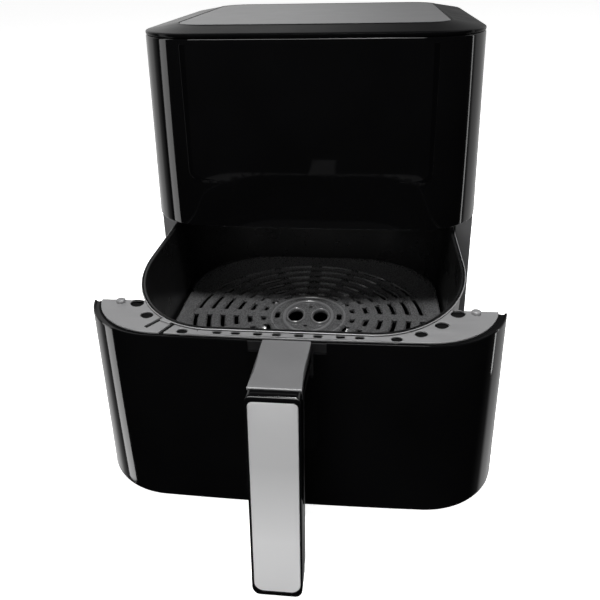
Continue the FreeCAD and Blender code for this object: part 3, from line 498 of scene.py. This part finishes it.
BEVEL_START = SEAM + 3.2
cover_profile = [
    (9, SEAM), (1.6, SEAM), (0.8, SEAM + 0.15), (0.3, SEAM + 0.6), (0.05, SEAM + 1.2),
    (0.05, BEVEL_START - 0.9), (0.2, BEVEL_START - 0.35), (0.7, BEVEL_START + 0.05),
    (1.6, BEVEL_START + 0.35), (3.6, BEVEL_START + 0.68),
    (23.6, TOP - 0.83), (25.6, TOP - 0.5), (26.4, TOP - 0.2), (27.2, TOP - 0.1), (27.8, TOP - 0.25),
    (28, TOP - 0.8), (28, TOP - 2), (30, TOP - 5),
]
cover = draft(sweep("housing_cover", BODY_PATH, cover_profile))
finish_piece(cover, "top_cover", material="cover_black")

top_path = moved_in(BODY_PATH, 28.5)
crown = [
    (0, TOP - 2), (0, TOP - 0.9), (0.15, TOP - 0.55), (0.5, TOP - 0.32), (1.1, TOP - 0.25), (10, TOP - 0.2),
]
top_rings = [ring(top_path, inset, z) for inset, z in crown]
flat_ring = top_rings[-1]
centre_y = (FRONT + BACK) / 2
for share, lift in ((0.75, 0.05), (0.5, 0.1), (0.25, 0.14), (0.04, 0.15)):
    z = TOP - 0.2 + lift
    top_rings.append([(x * share, centre_y + (y - centre_y) * share, z) for x, y, _ in flat_ring])
finish_piece(draft(loft("housing_top", top_rings, cap_first=True, cap_last=True)), "top_panel")

low, high = low_mm("control_panel"), high_mm("control_panel")
corners = [(low[0], low[2]), (high[0], low[2]), (high[0], high[2]), (low[0], high[2])]
window_outline = rounded(corners, [9, 9, 1.5, 1.5], 8)
window = slab("control_window", [window_outline], -0.5, 0.5, 0.48)


def bend_front(thing, level):
    """Stands a flat plate up against the bowed front of the housing, its middle at y=level."""
    flat = HALF - CORNER
    for v in thing.data.vertices:
        x, z, depth = v.co.x / MM, v.co.y / MM, v.co.z / MM
        bow = BOW * min(1.0, abs(x) / flat) ** 2
        beyond = max(0.0, abs(x) - flat)
        bow += CORNER - math.sqrt(CORNER ** 2 - beyond ** 2)
        v.co = (x * MM, (level - depth + bow) * MM, z * MM)


bend_front(window, FRONT + 0.27)
clean(window.data)
finish_piece(window, "control_panel")

lower_path = moved_in(BODY_PATH, LOWER_INSET)
jamb = high_mm("front_bezel")[1]
first = next(i for i, p in enumerate(lower_path) if p[1] > jamb and p[0] > 0)
behind = [p for p in lower_path[first:] + lower_path[:first] if p[1] > jamb]
start = (behind[0][0], jamb, behind[0][2], behind[0][3])
end = (behind[-1][0], jamb, behind[-1][2], behind[-1][3])
lower_profile = [
    (3, BASE), (0.6, BASE), (0.15, BASE + 0.2), (0, BASE + 0.8),
    (0, SPLIT - 0.6), (0.3, SPLIT), (3, SPLIT),
]
lower = sweep("lower_housing", [start] + behind + [end], lower_profile, closed=False)
gland = turned("gland_cutter", [(8, 0), (8, 20)], (70, 0), 32)
gland.data.transform(Matrix.Rotation(math.radians(90), 4, "X"))
gland.data.transform(Matrix.Translation((0, (BACK + 4) * MM, 35 * MM)))
carve(lower, [gland])
finish_piece(lower, "lower_body", material="lower_gloss")

foot_profile = [
    (8.4, 4), (9.6, 4), (10, 3.4), (10, 0.8), (9.6, 0.25), (8.9, 0),
    (6.6, 0), (6.1, 0.4), (5.6, 1.1), (0.001, 1.1),
]
foot_places = [(x, y) for x in (-105, 105) for y in (FRONT + 62, FRONT + 250)]
feet = [turned(f"foot_{i}", foot_profile, place) for i, place in enumerate(foot_places)]
finish_piece(join(feet, "feet"), "rubber_feet")


# ---------------------------------------------------------------- drawer front and rim

DRAWER = low_mm("drawer_front")[1]
DRAWER_END = high_mm("drawer_front")[1]
DRAWER_TOP = high_mm("drawer_front")[2]
RIM_TOP = high_mm("drawer_rim")[2]
DRAWER_LOW = 10.0
DRAWER_WIDTH, DRAWER_CORNER = 285.0, 55.0
DRAWER_PATH = outline(DRAWER_WIDTH, DRAWER, DRAWER + 200, DRAWER_CORNER, BOW, turn=26, run=40,
                      open_at=DRAWER_END - 0.1)
DRAWER_PATH[0] = (*DRAWER_PATH[0][:2], 1, 0)
DRAWER_PATH[-1] = (*DRAWER_PATH[-1][:2], -1, 0)
front_profile = [
    (2.4, DRAWER_LOW + 0.4), (1.7, DRAWER_LOW), (1.0, DRAWER_LOW + 0.05), (0.4, DRAWER_LOW + 0.4),
    (0.08, DRAWER_LOW + 1.1), (0, DRAWER_LOW + 2.2),
    (0, DRAWER_TOP - 1.0), (0.12, DRAWER_TOP - 0.45), (0.45, DRAWER_TOP - 0.1), (0.9, DRAWER_TOP - 0.02),
    (1.4, DRAWER_TOP - 0.2), (1.9, DRAWER_TOP - 1.2),
    (6.5, DRAWER_TOP - 1.4), (6.5, DRAWER_TOP - 2.6), (2.4, DRAWER_TOP - 3),
]
front = sweep("drawer_face", DRAWER_PATH, front_profile, closed=False)
notches = (("notch_wide", 25.0, DRAWER_TOP - 8), ("notch_deep", 16.8, DRAWER_TOP - 25.4))
carve(front, [box_solid(name, (-half, DRAWER - 3, low), (half, DRAWER + 6, DRAWER_TOP + 3))
              for name, half, low in notches])
finish_piece(front, "drawer_front")

BASKET_FRONT = DRAWER + 12
BASKET_MIDDLE = BASKET_FRONT + 132
BASKET_WIDTH, BASKET_CORNER, BASKET_LONG = 240.0, 68.0, 105.0
BASKET_PATH = outline(BASKET_WIDTH, BASKET_FRONT - 0.8, BASKET_FRONT + 263, BASKET_CORNER, turn=30, run=24,
                      long=BASKET_LONG)

rim_outer = []
for x, y, nx, ny in DRAWER_PATH:
    inset = 3.4 + 2.2 * abs(nx)
    rim_outer.append((x + nx * inset, y + ny * inset))
inner_front = [(x, y) for x, y, _, _ in moved_in(BASKET_PATH, -0.4) if y < DRAWER_END - 0.05]
inner_front.sort(key=lambda p: -p[0])
rim_outer[0] = (rim_outer[0][0], DRAWER_END)
rim_outer[-1] = (rim_outer[-1][0], DRAWER_END)
edge_x = inner_front[0][0] + 0.3
rim_loop = rim_outer + [(edge_x, DRAWER_END)] + inner_front + [(-edge_x, DRAWER_END)]


def oval_loop(cx, cy, length, radius, turn=0.0, steps=10):
    """A slot with round ends, turned about its middle."""
    reach = length / 2 - radius
    points = []
    for side, start in ((1, -90), (-1, 90)):
        for k in range(steps + 1):
            a = math.radians(start + 180 * k / steps)
            points.append((side * reach + radius * math.cos(a), radius * math.sin(a)))
    c, s = math.cos(turn), math.sin(turn)
    return [(cx + c * x - s * y, cy + s * x + c * y) for x, y in points]


def on_rim_corner(side, turn, reach):
    """A point on the rim's corner: turn is the angle from the front, reach the way out from the basket."""
    radius = 80.0
    middle = 243.0 / 2 - radius
    x = middle + (radius + reach) * math.sin(turn)
    return side * x, BASKET_FRONT + radius - (radius + reach) * math.cos(turn)


holes = []
for pair in (-39.3, -13.1, 13.1, 39.3):
    for side in (-6, 6):
        holes.append(oval_loop(pair + side, DRAWER + 7.6, 6.0, 1.9))
for side in (-1, 1):
    for degrees, reach, radius in ((18, 5.4, 2.8), (29, 6.6, 3.2), (41, 7.6, 3.6), (53, 8.6, 4.0)):
        if side == -1 and degrees == 29:
            continue
        turn = math.radians(degrees)
        hx, hy = on_rim_corner(side, turn, reach)
        x, y, nx, ny = min(BASKET_PATH, key=lambda p: math.hypot(p[0] - hx, p[1] - hy))
        away = radius * 1.15 + 3.0
        holes.append(oval_loop(x - nx * away, y - ny * away, radius * 2.6, radius * 1.1, side * turn))
rim = slab("drawer_rim_plate", [rim_loop] + holes, RIM_TOP - 1.2, RIM_TOP, 0.3)
grooves = []
for degrees in (24.5, 32.5):
    turn = math.radians(degrees)
    groove = box_solid(f"rim_groove_{degrees}", (-1.6, -9.5, RIM_TOP - 2), (1.6, 8.5, RIM_TOP + 1))
    groove.data.transform(Matrix.Rotation(-turn, 4, "Z"))
    hx, hy = on_rim_corner(-1, turn, 7.0)
    groove.data.transform(Matrix.Translation((hx * MM, hy * MM, 0)))
    grooves.append(groove)
for x in (-58.5, 53):
    low, high = (x - 0.25, DRAWER + 8.2, RIM_TOP - 0.8), (x + 0.25, DRAWER + 13, RIM_TOP + 1)
    grooves.append(box_solid(f"rim_seam_{x}", low, high))
carve(rim, grooves)
finish_piece(rim, "drawer_rim", angle=25.0)

# A near-black sheet under the rim with almost no gloss: painted shade seen through the rim's holes.
under_rim = slab("rim_underside", [[(x * 1.012, y) for x, y in rim_loop]], RIM_TOP - 3.0, RIM_TOP - 1.6, 0.3)
trim_piece(under_rim, "drawer", "matte_black", "recess_painted_shade")

PEG = 3.2
peg_x = high_mm("rim_nubs")[0] - PEG
peg_y = (low_mm("rim_nubs")[1] + high_mm("rim_nubs")[1]) / 2
peg_profile = [
    (PEG, RIM_TOP - 0.02), (PEG, RIM_TOP + 1.3), (3.0, RIM_TOP + 1.9), (2.4, RIM_TOP + 2.3),
    (0.001, RIM_TOP + 2.4),
]
pegs = [turned(f"rim_peg_{side}", peg_profile, (side * peg_x, peg_y), 40) for side in (-1, 1)]
finish_piece(join(pegs, "rim_pegs"), "rim_nubs", material="rim_grey")

tab_turn = math.radians(28.5)
tab_x, tab_y = on_rim_corner(-1, tab_turn, 4.0)
cos, sin = math.cos(-tab_turn), math.sin(-tab_turn)
tab_loop = [(tab_x + cos * x - sin * y, tab_y + sin * x + cos * y)
            for x, y in rounded([(-4.4, -1.6), (4.4, -1.6), (4.4, 1.6), (-4.4, 1.6)], 0.8)]
clip = slab("rim_tab", [tab_loop], RIM_TOP - 0.2, RIM_TOP + 1.1, 0.3)
finish_piece(clip, "rim_clip")


# ---------------------------------------------------------------- basket and crisper plate

FLOOR = low_mm("basket")[2]
LIP = high_mm("basket")[2]
TAPER = math.tan(math.radians(3.5))
SHEET = 1.5


def wall_at(z):
    """How far the basket's tapered wall stands in from its rim at one height."""
    return (RIM_TOP - z) * TAPER


def floor_bend(inset, level, radius):
    """The bend between the basket's wall and its floor, from the wall down."""
    angles = [math.radians(86.5 * k / 8) for k in range(1, 9)]
    return [(inset + radius * (1 - math.cos(a)), level + radius * (1 - math.sin(a))) for a in angles]


def shrunk_loop(loop, share, z):
    """A ring drawn in towards the basket's middle, at one height."""
    return [(x * share, BASKET_MIDDLE + (y - BASKET_MIDDLE) * share, z) for x, y, _ in loop]


outer_profile = [(wall_at(z), z) for z in (FLOOR + 22, FLOOR + 60, RIM_TOP - 0.05)]
lip_profile = [
    (0.0, LIP - 1.2), (-1.8, LIP - 1.2), (-2.0, LIP - 1.0), (-2.0, LIP - 0.35), (-1.75, LIP - 0.05),
    (-1.4, LIP), (0.7, LIP), (1.15, LIP - 0.12), (1.42, LIP - 0.5), (SHEET, LIP - 1.2),
]
inner_profile = [(SHEET + wall_at(z), z) for z in (RIM_TOP - 6, 110, 80, 60, FLOOR + 19)]
inner_profile += floor_bend(SHEET + wall_at(FLOOR + SHEET) + 0.2, FLOOR + SHEET, 16.0)
loops = [ring(BASKET_PATH, inset, z) for inset, z in outer_profile + lip_profile + inner_profile]
loops += [shrunk_loop(loops[-1], share, FLOOR + SHEET) for share in (0.7, 0.35, 0.03)]
under = [(wall_at(FLOOR + 20), FLOOR + 18)] + floor_bend(wall_at(FLOOR), FLOOR, 17.0)
under_loops = [ring(BASKET_PATH, inset, z) for inset, z in reversed(under)]
under_loops = [shrunk_loop(under_loops[0], share, FLOOR) for share in (0.03, 0.4, 0.8)] + under_loops
basket = loft("basket_pan", under_loops + loops, cap_first=True, cap_last=True)
finish_piece(basket, "basket", angle=50.0)
# A pale ring on the basket's lip, which is dark non-stick coating: a painted highlight for the light line
# along it.
lip_edge_profile = [
    (-2.02, LIP - 0.5), (-2.02, LIP - 0.25), (-1.75, LIP), (-0.4, LIP), (-0.4, LIP - 0.5),
]
trim_piece(sweep("basket_lip_highlight", BASKET_PATH, lip_edge_profile), "drawer", "non_stick", "lip_painted_highlight")

PLATE_TOP = high_mm("crisper_plate")[2]
PLATE_LOW = low_mm("crisper_plate")[2]
PLATE_HALF = 112.0
PLATE_LONG = 246.0
PLATE_CORNER = 70.0
SHEET_TOP = PLATE_TOP - 1.9  # level of the plain sheet, below its raised shapes
SECTORS = 16
RINGS = [38.0 + 11.6 * k for k in range(6)]  # radii of the slots
SLOT = 4.7  # width of a slot
HALF_SPOKE, HALF_WIDE_SPOKE = 3.6, 5.2  # every fourth spoke is wide
DIAGONAL = 34.0  # degrees from the side to the plate's raised diagonals


def smooth_step(value, low, high):
    """Rises smoothly from 0 to 1 between two values."""
    t = max(0.0, min(1.0, (value - low) / (high - low)))
    return t * t * (3 - 2 * t)


def relief(x, y):
    """How far the pressed shapes of the crisper plate stand up from its sheet, in millimetres."""
    r = math.hypot(x, y)
    angle = math.degrees(math.atan2(abs(y), abs(x)))
    on_slot_edge = any(abs(abs(r - middle) - SLOT / 2) < 0.05 for middle in RINGS)
    off_diagonal = (angle - DIAGONAL) * math.radians(1) * r
    wing = smooth_step(-off_diagonal, -1.2, 1.2) * smooth_step(r, 29, 32) * (1 - smooth_step(r, 96, 104))
    rib = math.exp(-(off_diagonal / 1.5) ** 2) * smooth_step(r, 30, 34) * (1 - smooth_step(r, 64, 72))
    return min(0.45 * on_slot_edge + 0.9 * wing + 1.1 * rib, 1.9)


def boundary(angle):
    """Distance from the plate's middle to its rounded edge, along one direction."""
    c, s = abs(math.cos(angle)), abs(math.sin(angle))
    half_x, half_y = PLATE_HALF, PLATE_LONG / 2
    cx, cy = half_x - PLATE_CORNER, half_y - PLATE_CORNER
    reach = min(half_x / max(c, 1e-6), half_y / max(s, 1e-6))
    dot = c * cx + s * cy
    gap = dot * dot - (cx * cx + cy * cy - PLATE_CORNER * PLATE_CORNER)
    if gap > 0:
        far = dot + math.sqrt(gap)
        x, y = far * c, far * s
        if x >= cx and y >= cy:
            reach = far
    return reach


def column_angle(column, r):
    """The angle of one column of points at one radius. The spokes keep their width, so it varies."""
    sector, part = column
    start = math.radians(360 / SECTORS * sector)
    if part is None:
        return start
    half_spokes = [HALF_WIDE_SPOKE if s % 4 == 0 else HALF_SPOKE for s in (sector, sector + 1)]
    r = max(r, 33.0)
    a = start + half_spokes[0] / r
    b = start + math.radians(360 / SECTORS) - half_spokes[1] / r
    return a + (b - a) * part


def crisper_sheet():
    """The top of the crisper plate: rings of points from its middle to its edge, with open slots."""
    radii = [0.5, 4, 8, 12, 14.5, 17, 18.5, 20, 21.5, 23, 24.5, 26.5, 28.5, 30, 31.5, 33]
    open_rows = set()
    for r in RINGS:
        radii.append(r - SLOT / 2 - 0.8)
        open_rows |= {len(radii), len(radii) + 1}
        radii += [r - SLOT / 2, r, r + SLOT / 2, r + SLOT / 2 + 0.8]
    circle_end = radii[-1] + 1.5
    radii.append(circle_end)
    columns = []
    for sector in range(SECTORS):
        columns.append((sector, None))
        columns += [(sector, k / 12) for k in range(13)]
    verts = []
    for r in radii:
        for column in columns:
            a = column_angle(column, r)
            x, y = r * math.cos(a), r * math.sin(a)
            verts.append((x, y, relief(x, y)))
    shares = [0.1, 0.2, 0.3, 0.4, 0.55, 0.7, 0.85, 0.95, 1.0]
    for share in shares:
        fall = -1.2 * smooth_step(share, 0.9, 1.0)
        for column in columns:
            a = column_angle(column, circle_end)
            r = circle_end + (boundary(a) - circle_end) * share
            verts.append((r * math.cos(a), r * math.sin(a), fall))
    faces = []
    count = len(columns)
    for i in range(len(radii) + len(shares) - 1):
        for j, (_, part) in enumerate(columns):
            if i in open_rows and part is not None and part < 1:
                continue
            m = (j + 1) % count
            faces.append((i * count + j, i * count + m, (i + 1) * count + m, (i + 1) * count + j))
    faces.append(tuple(reversed(range(count))))
    plate = new_mesh("crisper_top", [(x, y + BASKET_MIDDLE, SHEET_TOP + z) for x, y, z in verts], faces)
    thick = plate.modifiers.new("sheet", "SOLIDIFY")
    thick.thickness = 1.6 * MM
    thick.offset = -1
    bake(plate)
    return plate


def upright_cutter(name, loop):
    """A cutter through the crisper plate, with the same outline at every height."""
    return loft(name, [[(x, y, z) for x, y in loop] for z in (PLATE_TOP - 12, PLATE_TOP + 5)], True, True)


def crisper_cutters():
    """The two finger holes, the two pin holes and the two short slots beside the boss."""
    cutters = []
    for side in (-1, 1):
        angles = [2 * math.pi * k / 40 for k in range(40)]
        loop = [(side * 10.4 + 6.1 * math.cos(a), BASKET_MIDDLE - 1 + 10.5 * math.sin(a)) for a in angles]
        cutters.append(upright_cutter(f"finger_{side}", loop))
    for x, y in ((-1, -16.5), (1, 15.5)):
        pin = [(1.7, PLATE_TOP - 12), (1.7, PLATE_TOP + 5)]
        cutters.append(turned(f"pin_{x}", pin, (x, BASKET_MIDDLE + y), 20))
    for side in (-1, 1):
        loop = rounded([(-2.2, -5), (2.2, -5), (2.2, 5), (-2.2, 5)], 1.6)
        loop = [(x + side * 26.3, y + BASKET_MIDDLE) for x, y in loop]
        cutters.append(upright_cutter(f"side_slot_{side}", loop))
    return cutters


def hoop(name, rx, ry, centre, level, half, height):
    """A raised oval ridge with a round top, pressed out of the plate."""
    cx, cy = centre
    path = []
    for k in range(72):
        a = 2 * math.pi * k / 72
        nx, ny = -math.cos(a) * ry, -math.sin(a) * rx
        size = math.hypot(nx, ny)
        path.append((cx + rx * math.cos(a), cy + ry * math.sin(a), nx / size, ny / size))
    turns = [math.radians(180 * k / 8) for k in range(9)]
    return sweep(name, path, [(-half * math.cos(t), level + height * math.sin(t)) for t in turns])


plate = carve(crisper_sheet(), crisper_cutters(), "MANIFOLD")
finish_piece(plate, "crisper_plate", angle=50.0, material="crisper_coat")

HOOPS = (
    ("boss_ring", 20.5, 26.0, 0, 1.8, 1.8),
    ("finger_ring_left", 7.4, 11.8, -10.4, 1.1, 1.8),
    ("finger_ring_right", 7.4, 11.8, 10.4, 1.1, 1.8),
    ("outer_ring", 31.0, 34.0, 0, 1.2, 1.2),
)
# The raised rings are real shapes of the plate; their paler colour is a painted highlight.
for name, rx, ry, centre_x, half, height in HOOPS:
    raised = hoop(name, rx, ry, (centre_x, BASKET_MIDDLE - 1), SHEET_TOP, half, height)
    trim_piece(raised, "crisper", "non_stick", "boss_painted_highlight")

skirt_front, skirt_back = BASKET_MIDDLE - PLATE_LONG / 2 + 0.5, BASKET_MIDDLE + PLATE_LONG / 2 - 0.5
skirt_path = outline(PLATE_HALF * 2 - 1, skirt_front, skirt_back, PLATE_CORNER - 0.5)
skirt_profile = [
    (0, PLATE_LOW), (0, PLATE_TOP - 3.7), (0.5, PLATE_TOP - 3.2),
    (2, PLATE_TOP - 3.2), (1.6, PLATE_TOP - 3.9), (1.5, PLATE_LOW),
]
trim_piece(sweep("crisper_skirt", skirt_path, skirt_profile), "crisper", "non_stick", "crisper_coat")


# ---------------------------------------------------------------- handle

FOOT = low_mm("handle_front")[2]
ARM_TOP = high_mm("handle_front")[2]
ROOT = high_mm("handle_front")[1]
TIP = DRAWER - 62.5  # front of the grip at its top
TOE = DRAWER - 72.5  # front of the grip at its foot
HALF_GRIP = 16.2


def grip_width(y, z):
    """Half the handle's width. It is full at the grip and the root, and less on the arm between them."""
    reach = (y - TIP) / (ROOT - TIP)
    waist = smooth_step(reach, 0.1, 0.42) * (1 - smooth_step(reach, 0.5, 0.9))
    arm = smooth_step(z, ARM_TOP - 34, ARM_TOP - 18)
    return HALF_GRIP - 1.0 - 0.9 * waist * arm


def shape_width(thing, half):
    """Gives a handle part that is half wide its curved sides."""
    for v in thing.data.vertices:
        v.co.x *= grip_width(v.co.y / MM, v.co.z / MM) / half


def subdivide(points, step):
    """Adds points along the straight stretches of an outline, so that its width can curve."""
    fine = []
    for i, (y, z) in enumerate(points):
        y2, z2 = points[(i + 1) % len(points)]
        steps = max(1, int(math.hypot(y2 - y, z2 - z) / step))
        fine += [(y + (y2 - y) * k / steps, z + (z2 - z) * k / steps) for k in range(steps)]
    return fine


def round_ends(thing, low=None, high=None):
    """Rounds the lower and upper corners, as seen from the front. Each is a (height, radius)."""
    for v in thing.data.vertices:
        x, z = abs(v.co.x) / MM, v.co.z / MM
        for limit, sign in ((low, 1), (high, -1)):
            if limit is None:
                continue
            level, radius = limit
            over = max(0.0, x - (HALF_GRIP - radius))
            edge = level + sign * (radius - math.sqrt(max(0.0, radius * radius - over * over)))
            if (z - edge) * sign < 0:
                v.co.z = edge * MM


ARM_FRONT = TIP + 7.5
arm_corners = [
    (ARM_FRONT, ARM_TOP - 0.5), (ROOT, ARM_TOP - 5.2), (ROOT, ARM_TOP - 12), (ARM_FRONT + 2, ARM_TOP - 9),
]
arm_points = rounded(arm_corners, [1.0, 0, 0, 2], 6)
arm = side_solid("handle_arm", subdivide(arm_points, 4), HALF_GRIP)
shape_width(arm, HALF_GRIP)
soften(arm, 1.6)
trim_piece(arm, "drawer", "arm_grey")

lean = (TIP - TOE) / (ARM_TOP - FOOT)


def on_front(z, depth):
    """A point at a height on the front plane of the grip, set back by a depth."""
    return TOE + lean * (z - FOOT) + depth


grip_corners = [
    (on_front(FOOT, 0.15), FOOT), (on_front(FOOT, 13.5), FOOT),
    (on_front(ARM_TOP - 30, 13.5), ARM_TOP - 30), (TIP + 22, ARM_TOP - 13.4),
    (ROOT, ARM_TOP - 17), (ROOT, ARM_TOP - 12.2),
    (ARM_FRONT + 1, ARM_TOP - 9.2), (ARM_FRONT - 0.4, ARM_TOP - 0.9),
    (on_front(ARM_TOP - 0.6, 0.15), ARM_TOP - 0.6),
]
grip_points = rounded(grip_corners, [2.2, 1, 0, 8, 0, 0, 1, 0.5, 2.4], 6)
grip = side_solid("handle_grip", subdivide(grip_points, 5), HALF_GRIP)
round_ends(grip, (FOOT, 8.0), (ARM_TOP - 0.6, 3.0))
shape_width(grip, HALF_GRIP)
TRIM_LOW, TRIM_HIGH = low_mm("handle_plate")[2], high_mm("handle_plate")[2]


def trim_loop(half, spare, low_radius, high_radius):
    """The outline of the trim as seen from the front, with spare room at its ends."""
    low, high = TRIM_LOW - spare, TRIM_HIGH + spare
    corners = [(-half, low), (half, low), (half, high), (-half, high)]
    return rounded(corners, [low_radius, low_radius, high_radius, high_radius], 8)


seat_loop = trim_loop(14.2, 0.3, 6.2, 3.2)
seat_loops = [[(x, on_front(z, depth), z) for x, z in seat_loop] for depth in (-3, 1.5)]
carve(grip, [loft("plate_seat_cutter", seat_loops, True, True)])
soften(grip, 0.9, segments=3)
finish_piece(grip, "handle_front", slot="matte_black", material="gloss_black")


def inset_loop(points, amount):
    """A closed outline made smaller by an amount on every side."""
    cx = sum(p[0] for p in points) / len(points)
    cz = sum(p[1] for p in points) / len(points)
    hx = max(abs(p[0] - cx) for p in points)
    hz = max(abs(p[1] - cz) for p in points)
    return [(cx + (x - cx) * (1 - amount / hx), cz + (z - cz) * (1 - amount / hz)) for x, z in points]


trim_outline = trim_loop(13.9, 0.0, 5.8, 2.8)
trim_middle = (TRIM_LOW + TRIM_HIGH) / 2
trim_rings = []
for amount, depth in ((0, 1.4), (0, 0.75), (0.12, 0.45), (0.4, 0.25), (0.9, 0.2)):
    trim_rings.append([(x, on_front(z, depth), z) for x, z in inset_loop(trim_outline, amount)])
for share, depth in ((0.66, 0.1), (0.33, 0.06), (0.02, 0.05)):
    face = [(x * share, trim_middle + (z - trim_middle) * share) for x, z in inset_loop(trim_outline, 0.9)]
    trim_rings.append([(x, on_front(z, depth), z) for x, z in face])
finish_piece(loft("handle_trim", trim_rings, True, True), "handle_plate", angle=30.0)

rear_corners = [
    (on_front(FOOT, 13.9), FOOT + 0.6), (on_front(FOOT, 21), FOOT + 2),
    (TIP + 21, ARM_TOP - 34), (TIP + 30, ARM_TOP - 21),
    (ROOT, ARM_TOP - 23), (ROOT, ARM_TOP - 17.4),
    (TIP + 22.4, ARM_TOP - 13.9), (on_front(ARM_TOP - 30, 13.9), ARM_TOP - 30.2),
]
rear_points = rounded(rear_corners, [0.5, 3, 8, 8, 0, 0, 8, 0.5], 6)
rear = side_solid("handle_back", subdivide(rear_points, 5), HALF_GRIP)
round_ends(rear, (FOOT + 0.6, 8.0))
shape_width(rear, HALF_GRIP * 1.02)
soften(rear, 1.6)
finish_piece(rear, "handle_rear")


# ---------------------------------------------------------------- stage, light and camera

def area(name, size, place, target, power, size_y=None, glossy=True, diffuse=True):
    """A softbox, its sizes in metres, aimed at a point."""
    data = bpy.data.lights.new(name, "AREA")
    data.energy = power
    data.size = size
    if size_y:
        data.shape = "RECTANGLE"
        data.size_y = size_y
    lamp = bpy.data.objects.new(name, data)
    lamp.location = place
    lamp.rotation_euler = (Vector(target) - Vector(place)).to_track_quat("-Z", "Y").to_euler()
    lamp.visible_glossy = glossy
    lamp.visible_diffuse = diffuse
    lamp.visible_camera = False
    bpy.context.scene.collection.objects.link(lamp)


floor_mesh = bpy.data.meshes.new("floor")
floor_corners = [(-40, -40, 0), (40, -40, 0), (40, 40, 0), (-40, 40, 0)]
floor_mesh.from_pydata(floor_corners, [], [(0, 1, 2, 3)])
floor = bpy.data.objects.new("floor", floor_mesh)
bpy.context.scene.collection.objects.link(floor)
pale = Nodes("pale floor", (0.9, 0.9, 0.9), 0.9, spec=0.0)
pale.tint(pale.noise(0.7), (0.89, 0.89, 0.89), (0.91, 0.91, 0.91))
pale.shader.inputs["Emission Color"].default_value = (1, 1, 1, 1)
pale.shader.inputs["Emission Strength"].default_value = 0.92
floor.data.materials.append(pale.material)
floor.visible_glossy = False
floor.visible_diffuse = False

world = bpy.data.worlds.new("studio")
bpy.context.scene.world = world
world.use_nodes = True
tree = world.node_tree
backdrop = tree.nodes["Background"]
coords = tree.nodes.new("ShaderNodeTexCoord")
split = tree.nodes.new("ShaderNodeSeparateXYZ")
tree.links.new(coords.outputs["Generated"], split.inputs[0])


def world_range(value, start, end, low=0.0, high=1.0):
    node = tree.nodes.new("ShaderNodeMapRange")
    node.interpolation_type = "SMOOTHSTEP"
    tree.links.new(value, node.inputs["Value"])
    for key, number in (("From Min", start), ("From Max", end), ("To Min", low), ("To Max", high)):
        node.inputs[key].default_value = number
    return node.outputs["Result"]


def world_math(kind, *terms):
    node = tree.nodes.new("ShaderNodeMath")
    node.operation = kind
    for socket, value in zip(node.inputs, terms):
        if isinstance(value, (int, float)):
            socket.default_value = value
        else:
            tree.links.new(value, socket)
    return node.outputs[0]


# The world is a dark studio with pale walls behind the object. The camera itself sees it as white.
east, north, height = split.outputs["X"], split.outputs["Y"], split.outputs["Z"]
rear_wall = world_math("MULTIPLY", world_range(north, 0.0, 0.45), world_range(east, -0.15, 0.1, 0.54, 0.12))
rear_wall = world_math("MULTIPLY", rear_wall, world_range(height, 0.42, 0.54, 1.0, 0.0))
sides = world_math("ADD", world_range(east, -0.6, -0.15, 0.4, 0.0), world_range(east, 0.1, 0.5, 0.0, 0.6))
sides = world_math("MULTIPLY", sides, world_range(north, 0.25, 0.4))
lit = world_math("ADD", world_math("ADD", rear_wall, sides), 0.004)
rays = tree.nodes.new("ShaderNodeLightPath")
lit = world_math("MULTIPLY", lit, world_range(rays.outputs["Is Diffuse Ray"], 0.0, 1.0, 1.0, 0.15))
strength = world_math("MAXIMUM", lit, rays.outputs["Is Camera Ray"])
tree.links.new(strength, backdrop.inputs["Strength"])
backdrop.inputs["Color"].default_value = (1, 1, 1, 1)
bpy.context.scene.view_settings.view_transform = "Standard"

area("overhead", 0.4, (0.05, -0.16, 1.7), (0.02, -0.14, 0), 38.0)
area("overhead glint", 1.1, (-0.2, -0.9, 1.5), (0, 0, 0.3), 26.0, size_y=0.5, diffuse=False)
area("front fill", 1.4, (-0.2, -2.4, 0.75), (0, -0.2, 0.1), 46.0, glossy=False)
area("left strip", 0.34, (-1.3, -0.2, 0.2), (0, 0, 0.2), 11.0, size_y=2.6, diffuse=False)
area("right strip", 0.06, (1.3, 0.25, 0.3), (0, 0, 0.25), 1.6, size_y=1.8, diffuse=False)

camera_data = bpy.data.cameras.new("camera")
camera = bpy.data.objects.new("camera", camera_data)
bpy.context.scene.collection.objects.link(camera)
bpy.context.scene.camera = camera
yaw, pitch, roll = 0.1146, 0.403, -0.0222
ahead = Vector((-math.sin(yaw) * math.cos(pitch), math.cos(yaw) * math.cos(pitch), -math.sin(pitch)))
right = Vector((math.cos(yaw), math.sin(yaw), 0))
up = right.cross(ahead)
right_rolled = right * math.cos(roll) + up * math.sin(roll)
up_rolled = up * math.cos(roll) - right * math.sin(roll)
facing = Matrix((right_rolled, up_rolled, -ahead)).transposed()
camera_place = Vector((48.3, -543.2, 361.9)) * MM
camera.matrix_world = Matrix.Translation(camera_place) @ facing.to_4x4()
camera_data.sensor_width = 36
camera_data.lens = 40.2
camera_data.shift_x, camera_data.shift_y = 0.0065, -0.1003
camera_data.clip_start = 0.01
